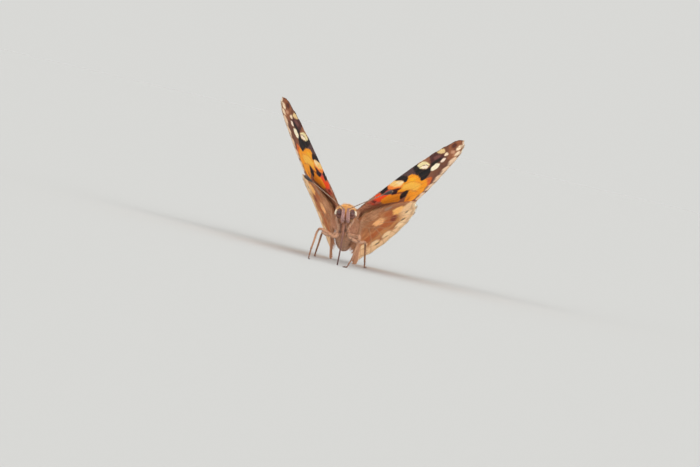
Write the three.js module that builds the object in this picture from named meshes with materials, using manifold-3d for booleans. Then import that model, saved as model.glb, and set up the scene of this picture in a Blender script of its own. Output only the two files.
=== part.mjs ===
// Painted lady butterfly (Vanessa cardui), a still, life-size model.
// Units are millimetres. +Z is up, the head faces -Y and the animal's left is +X.

import * as THREE from 'three';
import Module from 'manifold-3d';

const wasm = await Module();
wasm.setup();

const rad = (degrees) => (degrees * Math.PI) / 180;

// Stance: the body slopes down to the tail, the hind wing tips rest on the floor.
const bodyPitch = rad(22);
const thoraxHeight = 8.68;
const headRoll = rad(9.5);

// Gap kept between nodes that meet.
const gap = 0.3;

// Wings: thickness of the membrane, height and half width of the vein ridges.
const wingThickness = 0.5;
const veinHeight = 0.11;
const veinHalfWidth = 0.27;

// Wing angles, left and right: how far each leans out, how far it sweeps back.
const foreLean = { left: rad(33.5), right: rad(35.2) };
const foreSweep = { left: rad(19.2), right: rad(17.2) };
const hindLean = { left: rad(40.4), right: rad(39.2) };
const hindTurn = { left: rad(-0.4), right: rad(-0.3) };

// Wing bases in body axes, how far the fore wing tip and hind wing blade belly out.
const foreBase = [2.0, -1.0, 1.92];
const hindBase = [2.42, 1.8, 0.84];
const foreBelly = 0.86;
const hindBelly = { left: -0.2, right: -1.25 };

// The hind wing's anal fold: from hanging straight down to the full lean. Inside it
// the wing curls in round the abdomen, by so many radians per mm.
const foldInner = -0.4;
const foldOuter = 1.4;
const curl = 0.32;

// Body: stations [back, centre height, half width, top, bottom] of the thorax.
const thoraxStations = [
  [-3.45, -0.55, 0.95, 1.15, 0.85],
  [-3.15, -0.45, 1.35, 1.55, 1.3],
  [-2.5, -0.2, 1.85, 2.15, 2.0],
  [-1.6, 0.0, 2.2, 2.6, 2.65],
  [-0.4, 0.0, 2.42, 2.85, 3.0],
  [0.9, 0.0, 2.42, 2.8, 3.0],
  [2.1, 0.0, 2.2, 2.45, 2.6],
  [3.0, 0.0, 1.9, 2.05, 2.05],
  [3.6, 0.0, 1.6, 1.7, 1.6],
];

// Abdomen: where it starts and ends, number of rings, drop of its axis.
const abdomenStart = 3.9;
const abdomenEnd = 16.2;
const abdomenRings = 8;
const abdomenDrop = 0.45;

// Half width of the abdomen at positions from its front to its tip.
const abdomenWidths = [
  [0, 1.38], [0.08, 1.62], [0.2, 1.8], [0.38, 1.85], [0.58, 1.72], [0.76, 1.42],
  [0.88, 1.04], [0.96, 0.66], [1, 0.36],
];

// Head: centre and half sizes, eye centre and half sizes, in body axes.
const headCentre = [0.14, -4.75, -0.92];
const headSize = { width: 1.55, depth: 1.38, top: 1.75, bottom: 1.55 };
const eyeCentre = [1.1, -0.12, -0.05];
const eyeSize = [0.78, 0.9, 0.95];

// Feelers: length, shaft radius, club length and radius.
const antennaLength = 11.4;
const antennaRise = { left: 0.1, right: 0.27 };
const antennaRadius = 0.25;
const clubLength = 2.3;
const clubRadius = 0.38;

const proboscisRadius = 0.25;
const palpRadius = 0.33;

function place([x, back, up]) {
  const c = Math.cos(bodyPitch);
  const s = Math.sin(bodyPitch);
  return [x, back * c + up * s, thoraxHeight - back * s + up * c];
}

function rollHead([x, back, up]) {
  const c = Math.cos(headRoll);
  const s = Math.sin(headRoll);
  return [x * c - up * s, back, x * s + up * c];
}

function onHead(offset) {
  const p = rollHead(offset);
  return place(p.map((value, axis) => value + headCentre[axis]));
}

// Smooth line through 2-D points, split into equal steps of about the given length.
function smoothLine(points, step) {
  const curve = new THREE.CatmullRomCurve3(
    points.map(([x, y]) => new THREE.Vector3(x, y, 0)),
    false,
    'centripetal',
  );
  const count = Math.max(2, Math.round(curve.getLength() / step));
  return curve.getSpacedPoints(count).map((p) => [p.x, p.y]);
}

function solidFrom(points, faces) {
  const corner = (i) => new THREE.Vector3(...points[i]);
  let volume = 0;
  for (const [a, b, c] of faces) {
    volume += corner(a).dot(corner(b).cross(corner(c)));
  }
  const turned = volume < 0 ? faces.map(([a, b, c]) => [a, c, b]) : faces;
  return new wasm.Manifold(new wasm.Mesh({
    numProp: 3,
    vertProperties: new Float32Array(points.flat()),
    triVerts: new Uint32Array(turned.flat()),
  }));
}

// Closed skin over rings of equal count, with a point closing each end.
function skinRings(rings) {
  const count = rings[0].length;
  const points = rings.flat();
  const faces = [];
  for (let r = 0; r + 1 < rings.length; r += 1) {
    for (let k = 0; k < count; k += 1) {
      const a = r * count + k;
      const b = r * count + ((k + 1) % count);
      faces.push([a, b, b + count], [a, b + count, a + count]);
    }
  }
  for (const [ring, turn] of [[0, true], [rings.length - 1, false]]) {
    const start = ring * count;
    const middle = [0, 1, 2].map(
      (axis) => rings[ring].reduce((sum, p) => sum + p[axis], 0) / count,
    );
    points.push(middle);
    for (let k = 0; k < count; k += 1) {
      const a = start + k;
      const b = start + ((k + 1) % count);
      faces.push(turn ? [b, a, points.length - 1] : [a, b, points.length - 1]);
    }
  }
  return solidFrom(points, faces);
}

// Cross-section of the body: an oval with its own top and bottom heights.
function bodyRing(back, middle, width, top, bottom, sides, grow = 0) {
  const ring = [];
  for (let k = 0; k < sides; k += 1) {
    const angle = (2 * Math.PI * (k + 0.5)) / sides;
    const height = Math.sin(angle) > 0 ? top : bottom;
    ring.push([
      (width + grow) * Math.cos(angle),
      back,
      middle + (height + grow) * Math.sin(angle),
    ]);
  }
  return ring;
}

// Round rod along a smooth path, its radius given along its length from 0 to 1.
function rod(path, radiusAt, sides, steps) {
  const curve = new THREE.CatmullRomCurve3(
    path.map((p) => new THREE.Vector3(...p)),
    false,
    'centripetal',
  );
  const rings = [];
  let across = new THREE.Vector3(0.31, 0.17, 0.93);
  for (let i = 0; i <= steps; i += 1) {
    const t = i / steps;
    const centre = curve.getPointAt(t);
    const along = curve.getTangentAt(t);
    across = across.clone().addScaledVector(along, -across.dot(along)).normalize();
    const side = new THREE.Vector3().crossVectors(along, across);
    const ring = [];
    for (let k = 0; k < sides; k += 1) {
      const angle = (2 * Math.PI * k) / sides;
      const p = centre.clone()
        .addScaledVector(across, radiusAt(t) * Math.cos(angle))
        .addScaledVector(side, radiusAt(t) * Math.sin(angle));
      ring.push([p.x, p.y, p.z]);
    }
    rings.push(ring);
  }
  return skinRings(rings);
}

// Radius from a table of [position, radius] pairs, straight in between.
function radiusFrom(table) {
  return (t) => {
    let i = 1;
    while (i + 1 < table.length && t > table[i][0]) {
      i += 1;
    }
    const [t0, r0] = table[i - 1];
    const [t1, r1] = table[i];
    return r0 + (r1 - r0) * Math.min(1, Math.max(0, (t - t0) / (t1 - t0)));
  };
}

function ball(centre, size, around, along, transform) {
  const rings = [];
  for (let i = 1; i < along; i += 1) {
    const tilt = (Math.PI * i) / along;
    const ring = [];
    for (let k = 0; k < around; k += 1) {
      const angle = (2 * Math.PI * k) / around;
      ring.push(transform([
        centre[0] + size[0] * Math.sin(tilt) * Math.cos(angle),
        centre[1] - size[1] * Math.cos(tilt),
        centre[2] + size[2] * Math.sin(tilt) * Math.sin(angle),
      ]));
    }
    rings.push(ring);
  }
  return skinRings(rings);
}

// Fore wing plan: u runs from the base to the tip, v towards the hind margin.
const foreCosta = [
  [-1.6, 0.2], [0, -0.3], [5, -1.5], [10, -2.3], [15, -2.5], [20, -2.1], [25, -1.1],
  [28, 0.0], [29.6, 1.1],
];
const foreMarginEnds = [
  [29.6, 1.1], [30.2, 2.9], [30.0, 5.2], [28.9, 7.6], [27.7, 9.9], [26.6, 12.5],
  [25.2, 14.9], [22.9, 17.0],
];
const foreInner = [
  [22.9, 17.0], [21.5, 17.3], [18, 15.9], [12, 12.2], [6, 8.0], [2, 4.9], [-1.6, 2.4],
];
const foreVeins = [
  [[-1.4, 0.7], [5, -0.5], [11, -1.5], [17, -2.35]],
  [[-1.4, 1.2], [0, 1.0], [6, 0.5], [13.5, 0.2], [19, -0.1], [23, 0.05], [26.5, 0.4],
    [29.6, 1.1]],
  [[9.5, 0.3], [15, -1.0], [20.5, -2.03]],
  [[12.5, 0.2], [18, -0.8], [23.2, -1.5]],
  [[19, -0.1], [24, -0.6], [26.8, -0.48]],
  [[23, 0.05], [27, 1.5], [30.2, 2.9]],
  [[13.5, 0.2], [13.8, 1.0], [20, 2.4], [25, 3.8], [30.0, 5.2]],
  [[13.6, 3.0], [20, 4.7], [28.9, 7.6]],
  [[-1.4, 1.7], [0, 1.9], [4, 3.0], [8, 4.5], [12.8, 6.5], [20, 8.2], [27.7, 9.9]],
  [[10.8, 5.7], [18, 9.0], [26.6, 12.5]],
  [[7.8, 4.4], [15, 9.0], [25.2, 14.9]],
  [[-1.4, 2.1], [3, 4.1], [10, 8.9], [17, 13.5], [22.9, 17.0]],
  [[13.8, 1.0], [13.6, 3.0], [12.8, 6.5]],
];

// Hind wing plan: s runs outwards from the anal fold, t backwards.
const hindCosta = [
  [-0.3, -0.7], [0.6, -1.15], [1.9, -0.9], [3.3, 0.1], [5.4, 1.6], [8.2, 3.8], [11.6, 7.4],
  [13.7, 11.0],
];
const hindMarginEnds = [
  [13.7, 11.0], [14.2, 14.3], [13.8, 17.2], [12.2, 20.1], [9.7, 22.2], [6.6, 23.5],
  [3.3, 23.4], [0.5, 21.9], [-1.2, 19.8],
];
const hindInner = [
  [-1.2, 19.8], [-1.9, 18.6], [-2.3, 15], [-2.1, 9], [-1.3, 3.5], [-1.0, 0.7],
];
const hindVeins = [
  [[0.2, 0.4], [4, 1.6], [8.6, 5.0], [12.2, 8.9], [13.7, 11.0]],
  [[0.1, 1.2], [2.5, 3.8], [4.8, 6.8], [9, 10.4], [14.2, 14.3]],
  [[4.8, 6.8], [5.4, 8.0], [9.7, 12.6], [13.8, 17.2]],
  [[5.2, 9.0], [8.9, 14.4], [12.2, 20.1]],
  [[0.0, 1.7], [1.2, 5], [2.8, 8.2], [4.4, 10.2], [7.2, 16], [9.7, 22.2]],
  [[3.7, 9.3], [5.4, 16], [6.6, 23.5]],
  [[2.4, 7.5], [3.1, 15], [3.3, 23.4]],
  [[-0.2, 2.2], [0.3, 8], [0.6, 15], [0.5, 21.9]],
  [[-0.5, 2.6], [-1.1, 8], [-1.3, 14], [-1.2, 19.8]],
  [[5.4, 8.0], [5.2, 9.0], [4.4, 10.2]],
];

// Depth of the shallow scallops between the vein ends.
const foreScallop = 0.15;
const hindScallop = 0.28;

function scalloped(ends, centre, depth) {
  const line = [ends[0]];
  for (let i = 1; i < ends.length; i += 1) {
    const [ax, ay] = ends[i - 1];
    const [bx, by] = ends[i];
    const length = Math.hypot(bx - ax, by - ay);
    const middle = [(ax + bx) / 2, (ay + by) / 2];
    const reach = Math.hypot(middle[0] - centre[0], middle[1] - centre[1]);
    const swell = 0.05 * length - depth;
    line.push([
      middle[0] + (swell * (middle[0] - centre[0])) / reach,
      middle[1] + (swell * (middle[1] - centre[1])) / reach,
    ]);
    line.push(ends[i]);
  }
  return line;
}

// Point of the fore wing's middle surface in body axes, for the left side.
function foreSurface(u, v, side) {
  const lean = foreLean[side];
  const sweep = foreSweep[side];
  const out = u * Math.cos(sweep) - v * Math.sin(sweep);
  const back = u * Math.sin(sweep) + v * Math.cos(sweep);
  const reach = Math.min(1.1, Math.max(0, u / 30)) ** 2;
  const belly = foreBelly * reach * Math.sin(Math.PI * Math.min(1, Math.max(0, v / 17)) ** 0.7);
  return [
    foreBase[0] + out * Math.sin(lean) + belly * Math.cos(lean),
    foreBase[1] + back,
    foreBase[2] + out * Math.cos(lean) - belly * Math.sin(lean),
  ];
}

// Point of the hind wing's middle surface in body axes, for the left side.
function hindSurface(s, t, side) {
  const lean = hindLean[side];
  const turn = hindTurn[side];
  const q = s * Math.cos(turn) - t * Math.sin(turn);
  const back = s * Math.sin(turn) + t * Math.cos(turn);
  const bend = lean / (foldOuter - foldInner);
  const angle = bend * (Math.min(foldOuter, Math.max(foldInner, q)) - foldInner);
  const beyond = Math.max(0, q - foldOuter);
  const tuck = curl * Math.max(0, foldInner - q);
  const out = (1 - Math.cos(angle)) / bend + beyond * Math.sin(lean) - (1 - Math.cos(tuck)) / curl;
  const rise = Math.sin(angle) / bend + beyond * Math.cos(lean) - Math.sin(tuck) / curl;
  const outAtBase = (1 - Math.cos(lean)) / bend - foldOuter * Math.sin(lean);
  const riseAtBase = Math.sin(lean) / bend - foldOuter * Math.cos(lean);
  const reach = Math.hypot(s, t) / 24;
  const around = Math.min(1, Math.max(0, (Math.atan2(t, s) - 0.7) / 0.9));
  const belly = hindBelly[side] * reach ** 2 * Math.sin(Math.PI * around);
  return [
    hindBase[0] - outAtBase + out + belly * Math.cos(angle),
    hindBase[1] + back,
    hindBase[2] - riseAtBase + rise - belly * Math.sin(angle),
  ];
}

function distanceToLine([x, y], line) {
  let best = Infinity;
  for (let i = 0; i + 1 < line.length; i += 1) {
    const [ax, ay] = line[i];
    const dx = line[i + 1][0] - ax;
    const dy = line[i + 1][1] - ay;
    const t = Math.min(1, Math.max(0, ((x - ax) * dx + (y - ay) * dy) / (dx * dx + dy * dy)));
    best = Math.min(best, Math.hypot(x - ax - t * dx, y - ay - t * dy));
  }
  return best;
}

function insideOutline([x, y], outline) {
  let inside = false;
  for (let i = 0, j = outline.length - 1; i < outline.length; j = i, i += 1) {
    const [ax, ay] = outline[i];
    const [bx, by] = outline[j];
    if (ay > y !== by > y && x < ((bx - ax) * (y - ay)) / (by - ay) + ax) {
      inside = !inside;
    }
  }
  return inside;
}

// Delaunay triangles over 2-D points, by adding one point after another.
function triangulate(points) {
  const all = [...points, [-900, -700], [900, -800], [10, 1500]];
  const circle = (a, b, c) => {
    const [ax, ay] = all[a];
    const bx = all[b][0] - ax;
    const by = all[b][1] - ay;
    const cx = all[c][0] - ax;
    const cy = all[c][1] - ay;
    const d = 2 * (bx * cy - by * cx);
    const x = (cy * (bx * bx + by * by) - by * (cx * cx + cy * cy)) / d;
    const y = (bx * (cx * cx + cy * cy) - cx * (bx * bx + by * by)) / d;
    return { corners: [a, b, c], x: ax + x, y: ay + y, r2: x * x + y * y };
  };
  const n = points.length;
  let triangles = [circle(n, n + 1, n + 2)];
  for (let i = 0; i < n; i += 1) {
    const [px, py] = all[i];
    const rim = new Map();
    const kept = [];
    for (const triangle of triangles) {
      if ((px - triangle.x) ** 2 + (py - triangle.y) ** 2 < triangle.r2) {
        const [a, b, c] = triangle.corners;
        for (const [p, q] of [[a, b], [b, c], [c, a]]) {
          if (rim.has(`${q},${p}`)) {
            rim.delete(`${q},${p}`);
          } else {
            rim.set(`${p},${q}`, [p, q]);
          }
        }
      } else {
        kept.push(triangle);
      }
    }
    for (const [p, q] of rim.values()) {
      kept.push(circle(p, q, i));
    }
    triangles = kept;
  }
  return triangles.map((t) => t.corners).filter((corners) => corners.every((k) => k < n));
}

// Wing plate with the veins as ridges in both faces, the two faces split alike.
function wingPlate(plan, side) {
  const outline = [];
  for (const edge of plan.edges) {
    outline.push(...smoothLine(edge, 1.25).slice(0, -1));
  }
  if (plan.closing) {
    outline.push(plan.closing);
  }
  const rim = outline.length;
  const points = [...outline];
  const clear = (p, reach) => points.every(([x, y]) => Math.hypot(p[0] - x, p[1] - y) > reach);
  const veins = plan.veins.map((vein) => smoothLine(vein, 1.35));
  const closed = [...outline, outline[0]];
  const room = (p, reach) => insideOutline(p, outline) && distanceToLine(p, closed) > reach;
  for (const vein of veins) {
    for (const p of vein) {
      if (clear(p, 0.4) && room(p, 0.35)) {
        points.push(p);
      }
    }
  }
  for (const vein of veins) {
    for (let i = 0; i < vein.length; i += 1) {
      const before = vein[Math.max(0, i - 1)];
      const after = vein[Math.min(vein.length - 1, i + 1)];
      const length = Math.hypot(after[0] - before[0], after[1] - before[1]);
      for (const way of [-1, 1]) {
        const p = [
          vein[i][0] + (way * veinHalfWidth * (before[1] - after[1])) / length,
          vein[i][1] + (way * veinHalfWidth * (after[0] - before[0])) / length,
        ];
        if (clear(p, 0.22) && room(p, 0.4)) {
          points.push(p);
        }
      }
    }
  }
  for (let row = 0; row < 30; row += 1) {
    for (let column = 0; column < 40; column += 1) {
      const p = [-3 + plan.fill * (column + (row % 2) / 2), -4 + plan.fill * 0.87 * row];
      if (clear(p, plan.fill * 0.42) && room(p, 0.5)) {
        points.push(p);
      }
    }
  }
  for (const s of plan.foldLines) {
    for (let t = 0.6; t < 23; t += 1.6) {
      if (clear([s, t], 0.42) && room([s, t], 0.4)) {
        points.push([s, t]);
      }
    }
  }
  // A hair's breadth of wobble keeps four points from lying on one circle.
  const wobbled = points.map(([x, y], i) => [
    x + 1e-4 * Math.sin(12.9 * i),
    y + 1e-4 * Math.sin(78.2 * i + 1),
  ]);
  const middleOf = (face) => [0, 1].map(
    (axis) => face.reduce((sum, k) => sum + points[k][axis], 0) / 3,
  );
  const faces = triangulate(wobbled).filter((face) => insideOutline(middleOf(face), outline));

  const top = [];
  const bottom = [];
  for (const p of points) {
    const here = new THREE.Vector3(...plan.surface(p[0], p[1], side));
    const alongU = new THREE.Vector3(...plan.surface(p[0] + 0.01, p[1], side)).sub(here);
    const alongV = new THREE.Vector3(...plan.surface(p[0], p[1] + 0.01, side)).sub(here);
    const normal = alongU.cross(alongV).normalize();
    const nearest = Math.min(...veins.map((vein) => distanceToLine(p, vein)));
    const fade = Math.min(1, distanceToLine(p, closed) / 0.9);
    const ridge = fade * veinHeight * Math.max(0, 1 - nearest / (veinHalfWidth * 0.98));
    const half = wingThickness / 2 + ridge;
    top.push(here.clone().addScaledVector(normal, half));
    bottom.push(here.clone().addScaledVector(normal, -half));
  }
  const mirror = side === 'left' ? 1 : -1;
  const corners = [...top, ...bottom].map((p) => place([mirror * p.x, p.y, p.z]));
  const count = points.length;
  const skin = [];
  for (const [a, b, c] of faces) {
    skin.push([a, b, c], [c + count, b + count, a + count]);
  }
  const edges = new Set(faces.flatMap(([a, b, c]) => [`${a},${b}`, `${b},${c}`, `${c},${a}`]));
  const open = [...edges].map((edge) => edge.split(',').map(Number))
    .filter(([a, b]) => !edges.has(`${b},${a}`));
  if (open.length !== rim) {
    throw new Error(`wing rim has ${open.length} edges, its outline ${rim}`);
  }
  for (const [a, b] of open) {
    skin.push([b, a, a + count], [b, a + count, b + count]);
  }
  return solidFrom(corners, skin);
}

const forePlan = {
  edges: [
    foreCosta,
    scalloped(foreMarginEnds, [12, 5], foreScallop),
    foreInner,
    [[-1.6, 2.4], [-1.6, 0.2]],
  ],
  veins: foreVeins,
  surface: foreSurface,
  fill: 2.6,
  foldLines: [],
};

const hindPlan = {
  edges: [
    hindCosta,
    scalloped(hindMarginEnds, [4, 9], hindScallop),
    hindInner,
    [[-1.0, 0.7], [-0.3, -0.7]],
  ],
  veins: hindVeins,
  surface: hindSurface,
  fill: 2.6,
  foldLines: [-1.6, -0.9, 1.1, 1.75],
};

// Body.
function thoraxSolid(grow) {
  const rings = thoraxStations.map(([back, middle, width, top, bottom], i) => {
    const last = thoraxStations.length - 1;
    const shift = (i === 0 ? -grow : 0) + (i === last ? grow : 0);
    return bodyRing(back + shift, middle, width, top, bottom, 24, grow).map(place);
  });
  return skinRings(rings);
}

function abdomenSolid() {
  const rings = [];
  const steps = abdomenRings * 3;
  for (let i = 0; i <= steps; i += 1) {
    const t = i / steps;
    const back = abdomenStart + (abdomenEnd - abdomenStart) * t;
    const waist = i % 3 === 0 ? 0.955 : 1;
    const width = waist * radiusFrom(abdomenWidths)(t);
    const middle = -abdomenDrop * Math.sin(Math.PI * t * 0.9);
    rings.push(bodyRing(back, middle, width, width * 1.04, width * 0.98, 20).map(place));
  }
  return skinRings(rings);
}

function headSolid(grow) {
  const rings = [];
  const steps = 12;
  for (let i = 1; i < steps; i += 1) {
    const tilt = (Math.PI * i) / steps;
    const round = Math.sin(tilt);
    const ring = bodyRing(
      -(headSize.depth + grow) * Math.cos(tilt),
      0,
      (headSize.width + grow) * round,
      (headSize.top + grow) * round,
      (headSize.bottom + grow) * round,
      20,
    );
    rings.push(ring.map(onHead));
  }
  return skinRings(rings);
}

const mirrored = (side) => (side === 'left' ? 1 : -1);

function eyeSolid(side, grow) {
  const centre = [mirrored(side) * eyeCentre[0], eyeCentre[1], eyeCentre[2]];
  return ball(centre, eyeSize.map((size) => size + grow), 18, 12, onHead);
}

function palpSolid(side) {
  const m = mirrored(side);
  const path = [
    [0.34 * m, -0.1, -0.95], [0.42 * m, -0.62, -1.5], [0.5 * m, -1.2, -1.85],
    [0.5 * m, -1.75, -1.5], [0.46 * m, -2.1, -0.75], [0.42 * m, -2.35, 0.2],
  ].map(onHead);
  const radius = radiusFrom([
    [0, 0.26], [0.3, palpRadius], [0.6, palpRadius], [0.85, 0.26], [0.96, 0.16], [1, 0.06],
  ]);
  return rod(path, radius, 10, 14);
}

function antennaSolid(side) {
  const m = mirrored(side);
  const start = [0.34 * m, -0.72, 0.62];
  const way = new THREE.Vector3(0.66, -0.71, antennaRise[side]).normalize();
  const path = [];
  for (let i = 0; i <= 8; i += 1) {
    const t = i / 8;
    const reach = antennaLength * t;
    path.push(onHead([
      start[0] + m * reach * (way.x + 0.03 * t),
      start[1] + reach * (way.y + 0.02 * t),
      start[2] + reach * way.z,
    ]));
  }
  const club = 1 - clubLength / antennaLength;
  const radius = radiusFrom([
    [0, antennaRadius + 0.04], [0.1, antennaRadius], [club, antennaRadius],
    [club + 0.06, clubRadius * 0.85], [club + 0.11, clubRadius], [0.975, clubRadius * 0.9],
    [1, 0.15],
  ]);
  return rod(path, radius, 8, 22);
}

function proboscisSolid() {
  const path = [
    onHead([0, 0.3, -1.1]),
    onHead([-0.04, 0.05, -1.75]),
    [0.42, -5.65, 7.4],
    [0.54, -5.95, 6.3],
    [0.66, -6.2, 4.8],
    [0.78, -6.3, 2.9],
    [0.84, -6.1, 0.8],
    [0.86, -5.95, -0.4],
  ];
  const radius = radiusFrom([[0, 0.3], [0.3, proboscisRadius + 0.02], [1, proboscisRadius]]);
  return rod(path, radius, 8, 18);
}

// Legs, given for the left side: root and joints, in world axes from the coxa on.
// The short forelegs hang under the face and fold back up, like a narrow V.
const legPaths = {
  foreleg: {
    body: [
      [1.0, -2.1, -1.2], [1.6, -2.85, -1.15], [1.58, -3.2, -1.75], [1.28, -3.42, -2.7],
      [1.0, -3.48, -3.4], [0.85, -3.72, -3.85], [0.72, -4.0, -3.65], [0.66, -4.05, -3.2],
      [0.64, -4.05, -2.8],
    ],
    floor: [],
    thick: [[0, 0.3], [0.45, 0.3], [0.62, 0.25], [0.8, 0.2], [1, 0.15]],
    steps: 26,
  },
  midleg: {
    body: [[0.8, -0.2, -2.2], [1.1, -0.6, -3.0], [1.5, -1.2, -3.45]],
    floor: [
      [2.6, -2.9, 5.9], [3.55, -4.3, 6.0], [3.68, -4.9, 5.3], [3.6, -5.7, 3.9],
      [3.4, -6.6, 2.3], [3.1, -7.3, 1.1], [2.75, -8.1, 0.4], [2.45, -9.1, 0.21],
      [2.25, -9.9, 0.19],
    ],
    thick: [[0, 0.42], [0.2, 0.4], [0.38, 0.3], [0.6, 0.27], [0.9, 0.25], [1, 0.2]],
    steps: 26,
  },
  hindleg: {
    body: [[0.75, 2.2, -1.7], [1.2, 2.7, -2.35], [2.2, 3.9, -2.45], [3.3, 5.7, -1.9]],
    floor: [
      [4.1, 6.9, 4.9], [4.3, 7.6, 4.3], [4.5, 8.7, 2.8], [4.7, 9.8, 1.4],
      [4.85, 10.8, 0.5], [4.95, 12.0, 0.22], [5.0, 13.4, 0.19], [5.0, 14.3, 0.19],
    ],
    thick: [[0, 0.4], [0.2, 0.38], [0.4, 0.3], [0.6, 0.27], [0.9, 0.25], [1, 0.2]],
    steps: 26,
  },
};

// Right legs that are held differently: the foreleg lower, the mid leg further out.
const rightLegPaths = {
  foreleg: {
    body: [
      [-1.0, -2.1, -1.3], [-1.42, -2.85, -1.45], [-1.22, -3.2, -2.1], [-0.85, -3.35, -2.9],
      [-0.4, -3.48, -3.75], [-0.1, -3.75, -4.3], [-0.1, -4.12, -4.0], [-0.18, -4.2, -3.4],
      [-0.3, -4.18, -2.85],
    ],
    floor: [],
  },
  midleg: {
    body: [[-0.8, -0.2, -2.2], [-0.78, -0.6, -3.3]],
    floor: [
      [-0.72, -2.55, 5.2], [-1.15, -2.75, 4.95], [-2.0, -3.1, 5.25], [-3.3, -3.6, 5.72],
      [-4.05, -4.0, 5.72], [-4.32, -4.45, 5.1], [-4.4, -5.2, 3.8], [-4.5, -6.0, 2.4],
      [-4.55, -6.8, 1.2], [-4.5, -7.7, 0.42], [-4.35, -8.7, 0.21], [-4.2, -9.6, 0.19],
    ],
  },
};

function legSolid(kind, side) {
  const m = mirrored(side);
  const leg = legPaths[kind];
  const flip = ([x, y, z]) => [m * x, y, z];
  const own = side === 'right' && rightLegPaths[kind];
  const body = own ? own.body : leg.body.map(flip);
  const floor = own ? own.floor : leg.floor.map(flip);
  const path = [...body.map(place), ...floor];
  return rod(path, radiusFrom(leg.thick), 8, leg.steps);
}

// Wing joint: a tapering root that runs from inside the thorax along the main vein.
function wingRoot(side, inner, surface, along) {
  const m = mirrored(side);
  const path = [inner, ...along.map(([a, b]) => surface(a, b, side))]
    .map(([x, back, up]) => place([m * x, back, up]));
  return rod(path, radiusFrom([[0, 0.5], [0.5, 0.46], [1, 0.2]]), 10, 8);
}

// A node keeps the one body that matters, and any sealed hollow is filled.
function wholeBody(solid) {
  const pieces = solid.decompose().filter((piece) => piece.volume() > 0);
  return pieces.reduce((best, piece) => (piece.volume() > best.volume() ? piece : best));
}

const above = (solid) => solid.trimByPlane([0, 0, 1], 0);

const group = new THREE.Group();
group.name = 'painted_lady_butterfly';

function addNode(name, solid, colour, roughness) {
  const mesh = wholeBody(solid).getMesh();
  const geometry = new THREE.BufferGeometry();
  const positions = new Float32Array(mesh.vertProperties);
  geometry.setAttribute('position', new THREE.BufferAttribute(positions, 3));
  geometry.setIndex(new THREE.BufferAttribute(new Uint32Array(mesh.triVerts), 1));
  geometry.computeVertexNormals();
  const material = new THREE.MeshStandardMaterial({ color: colour, roughness, metalness: 0 });
  material.name = name;
  const node = new THREE.Mesh(geometry, material);
  node.name = name;
  group.add(node);
}

const thorax = thoraxSolid(0);
const thoraxClearance = thoraxSolid(gap);
const headClearance = headSolid(gap);
const sides = ['left', 'right'];

let head = headSolid(0).subtract(thoraxClearance);
for (const side of sides) {
  head = head.subtract(eyeSolid(side, gap));
}

addNode('thorax', thorax, 0x8a6238, 0.85);
addNode('abdomen', abdomenSolid(), 0x9a6f45, 0.8);
addNode('head', head, 0xb98345, 0.85);
addNode('proboscis', above(proboscisSolid().subtract(headClearance)), 0x5c3520, 0.45);

for (const side of sides) {
  addNode(`eye_${side}`, eyeSolid(side, 0), 0x4a2a26, 0.25);
  addNode(`palp_${side}`, palpSolid(side).subtract(headClearance), 0xa98070, 0.8);
  addNode(`antenna_${side}`, antennaSolid(side).subtract(headClearance), 0x4b382c, 0.6);

  const fore = wingPlate(forePlan, side)
    .add(wingRoot(side, [1.3, 0.2, 1.3], foreSurface, [[0.4, 1.1], [2.4, 1.1], [4.2, 1.0]]));
  addNode(`forewing_${side}`, fore.subtract(thoraxClearance), 0xd8782c, 0.7);

  const hind = wingPlate(hindPlan, side)
    .add(wingRoot(side, [1.3, 2.7, 0.3], hindSurface, [[0.35, 1.3], [1.4, 2.6], [2.7, 4.0]]));
  addNode(`hindwing_${side}`, above(hind.subtract(thoraxClearance)), 0xa9815a, 0.75);

  for (const kind of ['foreleg', 'midleg', 'hindleg']) {
    const leg = above(legSolid(kind, side).subtract(thoraxClearance));
    addNode(`${kind}_${side}`, leg, 0x8d6748, 0.75);
  }
}

// The origin lies under the middle of the whole animal, on the floor.
const extent = new THREE.Box3().setFromObject(group);
const middle = extent.getCenter(new THREE.Vector3());
group.position.set(-middle.x, -middle.y, -extent.min.z);

export default group;
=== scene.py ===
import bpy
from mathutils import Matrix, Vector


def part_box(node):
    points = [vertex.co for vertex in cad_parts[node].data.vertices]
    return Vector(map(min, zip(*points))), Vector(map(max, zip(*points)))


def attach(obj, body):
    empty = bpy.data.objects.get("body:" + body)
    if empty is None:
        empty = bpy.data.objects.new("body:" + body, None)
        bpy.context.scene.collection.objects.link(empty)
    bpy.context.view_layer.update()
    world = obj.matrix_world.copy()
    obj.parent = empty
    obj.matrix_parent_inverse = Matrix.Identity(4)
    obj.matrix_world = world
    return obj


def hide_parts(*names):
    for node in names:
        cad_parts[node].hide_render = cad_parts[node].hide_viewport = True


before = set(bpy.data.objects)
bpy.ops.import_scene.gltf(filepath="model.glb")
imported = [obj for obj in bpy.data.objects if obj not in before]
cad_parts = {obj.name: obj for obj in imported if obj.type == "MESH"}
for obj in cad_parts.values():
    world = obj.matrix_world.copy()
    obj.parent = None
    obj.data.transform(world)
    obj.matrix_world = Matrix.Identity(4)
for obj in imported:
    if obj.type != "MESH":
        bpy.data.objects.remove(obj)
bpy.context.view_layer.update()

import math

import bpy
import numpy as np
from mathutils import Matrix, Vector
from mathutils.geometry import delaunay_2d_cdt

# Painted lady butterfly. Sizes are in millimetres until they become mesh, and body
# axes are (x to the animal's left, backwards, upwards) from the middle of the thorax.
rad = math.radians
MM = 0.001
PITCH, HEIGHT = rad(22), 8.68
HEAD_ROLL, HEAD_CENTRE = rad(9.5), np.array([0.14, -4.75, -0.92])
# Middle of the left eye from the middle of the head, and half sizes of both eyes.
EYE_AT, EYE_SIZE = np.array([1.1, -0.12, -0.05]), (0.78, 0.9, 0.95)
SIDES = {"left": 1, "right": -1}
rng = np.random.default_rng(7)


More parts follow.
